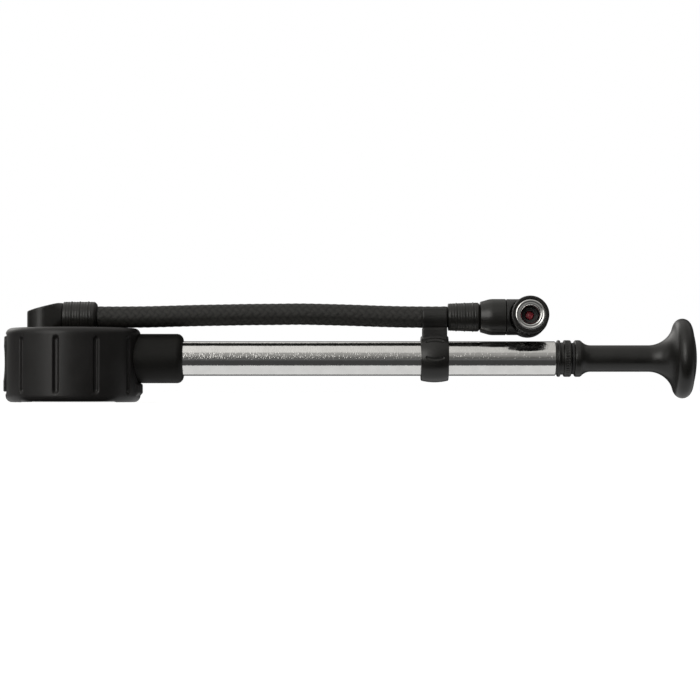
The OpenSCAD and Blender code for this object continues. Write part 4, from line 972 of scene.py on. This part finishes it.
# Colours are dark and light shades of one finish; grain and patch sizes and depths in millimetres
mouldedUsual = {"spread": 0.05, "marks": 0.0, "specular": 0.5}
mouldedFinishes = {
    "moulded_black": dict(dark=(0.0075, 0.0072, 0.0062), light=(0.0105, 0.01, 0.0088), rough=0.37,
        spread=0.07, grain=0.28, patch=7.0, depth=0.012, marks=0.25),
    "boot_rubber": dict(dark=(0.0105, 0.0098, 0.0095), light=(0.015, 0.0142, 0.014), rough=0.43,
        spread=0.06, grain=0.35, patch=9.0, depth=0.014, marks=0.3, specular=0.42),
    # Housing: a duller finish, and a darker colour that is partly painted shade under the hose
    "housing_black": dict(dark=(0.0055, 0.0053, 0.0045), light=(0.008, 0.0077, 0.0065), rough=0.58,
        spread=0.08, grain=0.3, patch=8.0, depth=0.016, marks=0.2, specular=0.22),
    "seal_rubber": dict(dark=(0.01, 0.01, 0.01), light=(0.016, 0.016, 0.016), rough=0.6, spread=0.08,
        grain=0.2, patch=3.0, depth=0.01, marks=0.1),
    "ferrule_black": dict(dark=(0.0105, 0.0103, 0.0088), light=(0.0145, 0.014, 0.0122), rough=0.32,
        spread=0.06, grain=0.24, patch=5.0, depth=0.008, marks=0.25),
    "collar_black": dict(dark=(0.0085, 0.008, 0.007), light=(0.0125, 0.0118, 0.0105), rough=0.24,
        grain=0.3, patch=4.0, depth=0.006, marks=0.2),
    # The pusher's red is the part's own, darkened further as painted shade for its place down in the chuck's
    # mouth
    "pusher_red": dict(dark=(0.16, 0.007, 0.014), light=(0.25, 0.01, 0.022), rough=0.42, spread=0.06,
        grain=0.25, patch=2.0, depth=0.006, marks=0.1),
    "needle_red": dict(dark=(0.5, 0.02, 0.018), light=(0.66, 0.035, 0.028), rough=0.42,
        grain=0.2, patch=3.0, depth=0.004),
    "dial_white": dict(dark=(0.74, 0.74, 0.71), light=(0.82, 0.82, 0.79), rough=0.48,
        grain=0.3, patch=12.0, depth=0.004),
    "ring_nylon": dict(dark=(0.66, 0.62, 0.52), light=(0.76, 0.72, 0.62), rough=0.45,
        grain=0.25, patch=4.0, depth=0.006),
    "dial_print": dict(dark=(0.012, 0.012, 0.013), light=(0.02, 0.02, 0.021), rough=0.5, spread=0.04,
        grain=0.2, patch=3.0, depth=0.003),
}
handling = {
    "size": 1.1,      # of the marks, in millimetres
    "rougher": 0.18,
    "brighter": 2.2,  # dust over the light shade
    "haze": 0.01,
}


def makeMoulded(name, finish):
    values = {**mouldedUsual, **finish}
    material, tree, shader, place = newMaterial(name)
    grain = useGroup(tree, grainGroup, {"Vector": place, "Grain": values["grain"], "Patch": values["patch"]})
    marks = useGroup(tree, scuffGroup, {"Vector": place, "Size": handling["size"],
                                        "Amount": values["marks"]})["Mask"]
    dusty = tuple(min(1, part * handling["brighter"] + handling["haze"]) for part in values["light"]) + (1,)
    colour = mixColour(tree, marks, mixColour(tree, grain["Patches"], *shadesOf(values)), dusty)
    rough = mathNode(tree, "ADD", roughnessOf(tree, grain["Patches"], values),
                     times(tree, marks, handling["rougher"]))
    setInputs(tree, shader, {"Base Color": colour, "Roughness": rough,
                             "Specular IOR Level": values["specular"],
                             "Normal": bumpOf(tree, grain["Height"], values["depth"])})
    return material


# Specks is how far the turned surface's speckles take the place of its lines
metalFinishes = {
    "barrel_aluminium": dict(dark=(0.8, 0.795, 0.775), light=(0.86, 0.855, 0.835), rough=0.09, spread=0.05,
        pitch=0.36, run=1.1, depth=0.012, specks=0.92),
    "bezel_steel": dict(dark=(0.5, 0.5, 0.51), light=(0.6, 0.6, 0.6), rough=0.28, spread=0.08,
        pitch=0.3, run=5.0, depth=0.003),
    "movement_brass": dict(dark=(0.62, 0.42, 0.16), light=(0.74, 0.54, 0.24), rough=0.27, spread=0.1,
        pitch=0.25, run=4.0, depth=0.003),
    "screw_steel": dict(dark=(0.45, 0.45, 0.46), light=(0.58, 0.58, 0.58), rough=0.3, spread=0.1, pitch=0.2,
        run=2.0, depth=0.003),
    "spring_steel": dict(dark=(0.36, 0.36, 0.38), light=(0.48, 0.48, 0.5), rough=0.32, spread=0.1,
        pitch=0.2, run=2.0, depth=0.002),
    "insert_chrome": dict(dark=(0.74, 0.74, 0.72), light=(0.83, 0.83, 0.81), rough=0.12, spread=0.04,
        pitch=0.35, run=1.2, depth=0.0012),
    "rod_steel": dict(dark=(0.58, 0.58, 0.58), light=(0.68, 0.68, 0.67), rough=0.16, spread=0.06,
        pitch=0.25, run=12.0, depth=0.002),
}


def makeMetal(name, values):
    material, tree, shader, place = newMaterial(name)
    grain = useGroup(tree, grainGroup, {"Vector": place, "Grain": values["pitch"], "Patch": 5.0})
    lines = useGroup(tree, turnedGroup, {"Vector": place, "Pitch": values["pitch"], "Run": values["run"]})
    height = mixValue(tree, values.get("specks", 0.0), lines["Height"], lines["Specks"])
    setInputs(tree, shader, {"Base Color": mixColour(tree, grain["Patches"], *shadesOf(values)),
                             "Metallic": 1.0, "Roughness": roughnessOf(tree, lines["Specks"], values),
                             "Normal": bumpOf(tree, height, values["depth"])})
    return material


def makeGlass(name):
    material, tree, shader, place = newMaterial(name)
    grain = useGroup(tree, grainGroup, {"Vector": place, "Grain": 0.5, "Patch": 14.0})
    setInputs(tree, shader, {"Base Color": (0.95, 0.97, 0.97, 1), "IOR": 1.49, "Transmission Weight": 1.0,
                             "Roughness": ranged(tree, grain["Patches"], 0.015, 0.05)})
    return material


braid = {
    # dark is the painted shade between the strands, light the crowns with a painted highlight
    "dark": (0.0075, 0.0073, 0.0058),
    "light": (0.0230, 0.0222, 0.0190),
    "yarns": 6.0,  # in each strand
    "yarnDepth": 0.05,
    "rough": (0.62, 0.52),  # between the strands and on their crowns
    "grain": 0.18, "patch": 5.0,
}


def makeBraid(name):
    material, tree, shader, place = newMaterial(name)
    parts = splitOf(tree, addNode(tree, "UVMap", uv_map="strands").outputs[0])
    over = addNode(tree, "Attribute", attribute_name="over", attribute_type="GEOMETRY").outputs["Fac"]
    yarnHeights, crowns = [], []
    for part in (parts[0], parts[1]):
        turn = times(tree, part, 2 * math.pi * braid["yarns"])
        yarnHeights.append(mathNode(tree, "MULTIPLY_ADD", mathNode(tree, "SINE", turn), 0.5, 0.5))
        crowns.append(mathNode(tree, "ABSOLUTE", mathNode(tree, "SINE", times(tree, part, math.pi))))
    yarn = mixValue(tree, over, yarnHeights[1], yarnHeights[0])
    crown = mixValue(tree, over, crowns[1], crowns[0])
    grain = useGroup(tree, grainGroup, {"Vector": place, "Grain": braid["grain"], "Patch": braid["patch"]})
    # The strands' crowns are painted lighter and the hollows between them painted darker: painted highlight
    # and painted shade on the weave
    lit = times(tree, smoothStep(tree, crown, 0.25, 1.0), mathNode(tree, "MULTIPLY_ADD", yarn, 0.4, 0.6))
    shade = times(tree, lit, mathNode(tree, "MULTIPLY_ADD", grain["Patches"], 0.4, 0.6))
    height = mathNode(tree, "MULTIPLY_ADD", yarn, 0.8, times(tree, grain["Height"], 0.3))
    setInputs(tree, shader, {"Base Color": mixColour(tree, shade, *shadesOf(braid)),
                             "Roughness": ranged(tree, lit, *braid["rough"]),
                             "Normal": bumpOf(tree, height, braid["yarnDepth"])})
    return material


materials = {name: makeMoulded(name, values) for name, values in mouldedFinishes.items()}
materials.update({name: makeMetal(name, values) for name, values in metalFinishes.items()})
materials["lens_clear"] = makeGlass("lens_clear")
materials["hose_braid"] = makeBraid("hose_braid")


def dress(mesh, slotName):
    mesh.materials.clear()
    mesh.materials.append(materials[slotName])


for row in frame["record"]["subparts"]:
    dress(frame["nodes"][row["node"]].data, row["material_slot"])
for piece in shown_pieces():
    if "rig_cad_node" not in piece:
        dress(piece.data, piece["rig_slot"])
# Print on the dial and the housing's duller black keep their pieces' slots; the housing's darker colour is
# partly painted shade under the hose
dress(dialMarks.data, "dial_print")
dress(frame["nodes"]["gauge_housing"].data, "housing_black")
print("materials made,", len(materials))

# Levels that the studio shows to surfaces that reflect it; angles in degrees, sides as sines
studio = {
    "ceiling": (0.80, 0.52),          # over the pump and past its right end
    "ceilingFar": (-0.05, 0.1),       # from where to where it changes
    "ceilingFrom": (34, 44),
    "ceilingBehind": (32, 44),
    "front": (0.09, 0.35),            # at the floor's edge and up by the ceiling
    "frontRises": (-4, 30),
    "key": 3.6,                       # soft light left of the camera
    "keyAt": (-0.70, -0.62, -0.26, -0.19),  # rises, full, full, falls
    "keyTop": (30, 52),
    "strip": 1.0,                     # narrow light further left
    "stripAt": (-0.96, -0.93, -0.86, -0.80),
    "lightsEnd": (80, 95),            # on the camera's side only
    "sides": 0.14,
    "sidesFrom": (12, 40),
    "behind": (0.55, 2.6, 0.10),      # wall at the left, light above it, dark straight behind
    "wallRises": (6, 26),
    "wallEnds": (-0.40, -0.12),
    "behindFrom": (120, 150),
    "rearFrom": (80, 100),            # where the ceiling's rear edge takes over
    "tone": (1.0, 0.985, 0.955),
}


def makeStudio():
    world = bpy.data.worlds.new("studio")
    bpy.context.scene.world = world
    world.use_nodes = True
    tree = world.node_tree
    parts = splitOf(tree, addNode(tree, "TexCoord").outputs["Generated"])
    azimuth = mathNode(tree, "ARCTAN2", parts[0], times(tree, parts[1], -1.0))
    aside = mathNode(tree, "ABSOLUTE", mathNode(tree, "DEGREES", azimuth))
    elevation = mathNode(tree, "DEGREES", mathNode(tree, "ARCSINE", parts[2]))

    def mask(value, key, *ends):
        return smoothStep(tree, value, *studio[key], *ends)

    def light(key):
        across = times(tree, band(tree, parts[0], *studio[key]), mask(aside, "lightsEnd", 1.0, 0.0))
        return times(tree, across, mask(elevation, "keyTop", 1.0, 0.0))

    low, high = studio["front"]
    front = mixColour(tree, mask(elevation, "frontRises"), grey(low), grey(high))
    level = mixColour(tree, mask(aside, "sidesFrom"), front, grey(studio["sides"]))
    level = mixColour(tree, light("stripAt"), level, grey(studio["strip"]))
    key = light("keyAt")
    level = mixColour(tree, key, level, grey(studio["key"]))
    foot, top, shade = studio["behind"]
    wall = mixColour(tree, mask(elevation, "wallRises"), grey(foot), grey(top))
    behind = mixColour(tree, mask(parts[0], "wallEnds"), wall, grey(shade))
    level = mixColour(tree, mask(aside, "behindFrom"), level, behind)
    near, far = studio["ceiling"]
    ceiling = mixColour(tree, mask(parts[0], "ceilingFar"), grey(near), grey(far))
    rises = mixValue(tree, mask(aside, "rearFrom"), mask(elevation, "ceilingFrom"),
                     mask(elevation, "ceilingBehind"))
    above = times(tree, rises, mathNode(tree, "SUBTRACT", 1.0, key))
    level = mixColour(tree, above, level, ceiling)
    toned = mixColour(tree, 1.0, level, (*studio["tone"], 1), blend="MULTIPLY")
    toCamera = addNode(tree, "LightPath").outputs["Is Camera Ray"]
    colour = mixColour(tree, toCamera, toned, grey(1))
    background = addNode(tree, "Background", {"Color": colour, "Strength": 1.0})
    tree.links.new(background.outputs[0], tree.nodes["World Output"].inputs["Surface"])


makeStudio()

floor = {
    "size": 3.0,
    "stripe": (-0.0225, -0.0185, 0.0075, 0.0120),  # the bright strip that shiny pieces see below them
    "stripeLevel": 0.72,
    "aroundLevel": (0.14, 0.055),  # far in front, and near the pump
    "aroundFrom": (-0.18, -0.045),
    "fill": 0.35,
    "seenGlow": 0.80,
    "seenShade": 0.40,
}


def makeFloor():
    bm = bmesh.new()
    bmesh.ops.create_grid(bm, x_segments=1, y_segments=1, size=floor["size"])
    ground = placed("floor", meshOf("floor", bm))
    material, tree, shader, place = newMaterial("pale_floor")
    tree.nodes.remove(shader)

    def glowing(colour):
        return addNode(tree, "Emission", {"Color": colour, "Strength": 1.0}).outputs[0]

    def dull(level):
        return addNode(tree, "BsdfDiffuse", {"Color": grey(level)}).outputs[0]

    def mixed(factor, first, second):
        return addNode(tree, "MixShader", {0: factor, 1: first, 2: second}).outputs[0]

    # Shiny pieces see the floor glow, a painted reflection: a bright strip below the pump in a dim field,
    # dimmer near the pump than far in front of it
    depth = splitOf(tree, place)[1]
    strip = band(tree, depth, *floor["stripe"])
    far, near = floor["aroundLevel"]
    around = mixColour(tree, smoothStep(tree, depth, *floor["aroundFrom"]), grey(far), grey(near))
    mirrored = glowing(mixColour(tree, strip, around, grey(floor["stripeLevel"])))
    seen = addNode(tree, "AddShader", {0: glowing(grey(floor["seenGlow"])),
                                                 1: dull(floor["seenShade"])}).outputs[0]
    path = addNode(tree, "LightPath").outputs
    shiny = mathNode(tree, "MAXIMUM", path["Is Glossy Ray"], path["Is Transmission Ray"])
    shader = mixed(shiny, mixed(path["Is Camera Ray"], dull(floor["fill"]), seen), mirrored)
    below = addNode(tree, "NewGeometry").outputs["Backfacing"]
    clear = addNode(tree, "BsdfTransparent").outputs[0]
    tree.links.new(mixed(below, shader, clear), tree.nodes["Material Output"].inputs["Surface"])
    ground.data.materials.append(material)


makeFloor()
bpy.context.scene.view_settings.view_transform = "Standard"
print("studio and floor ready")
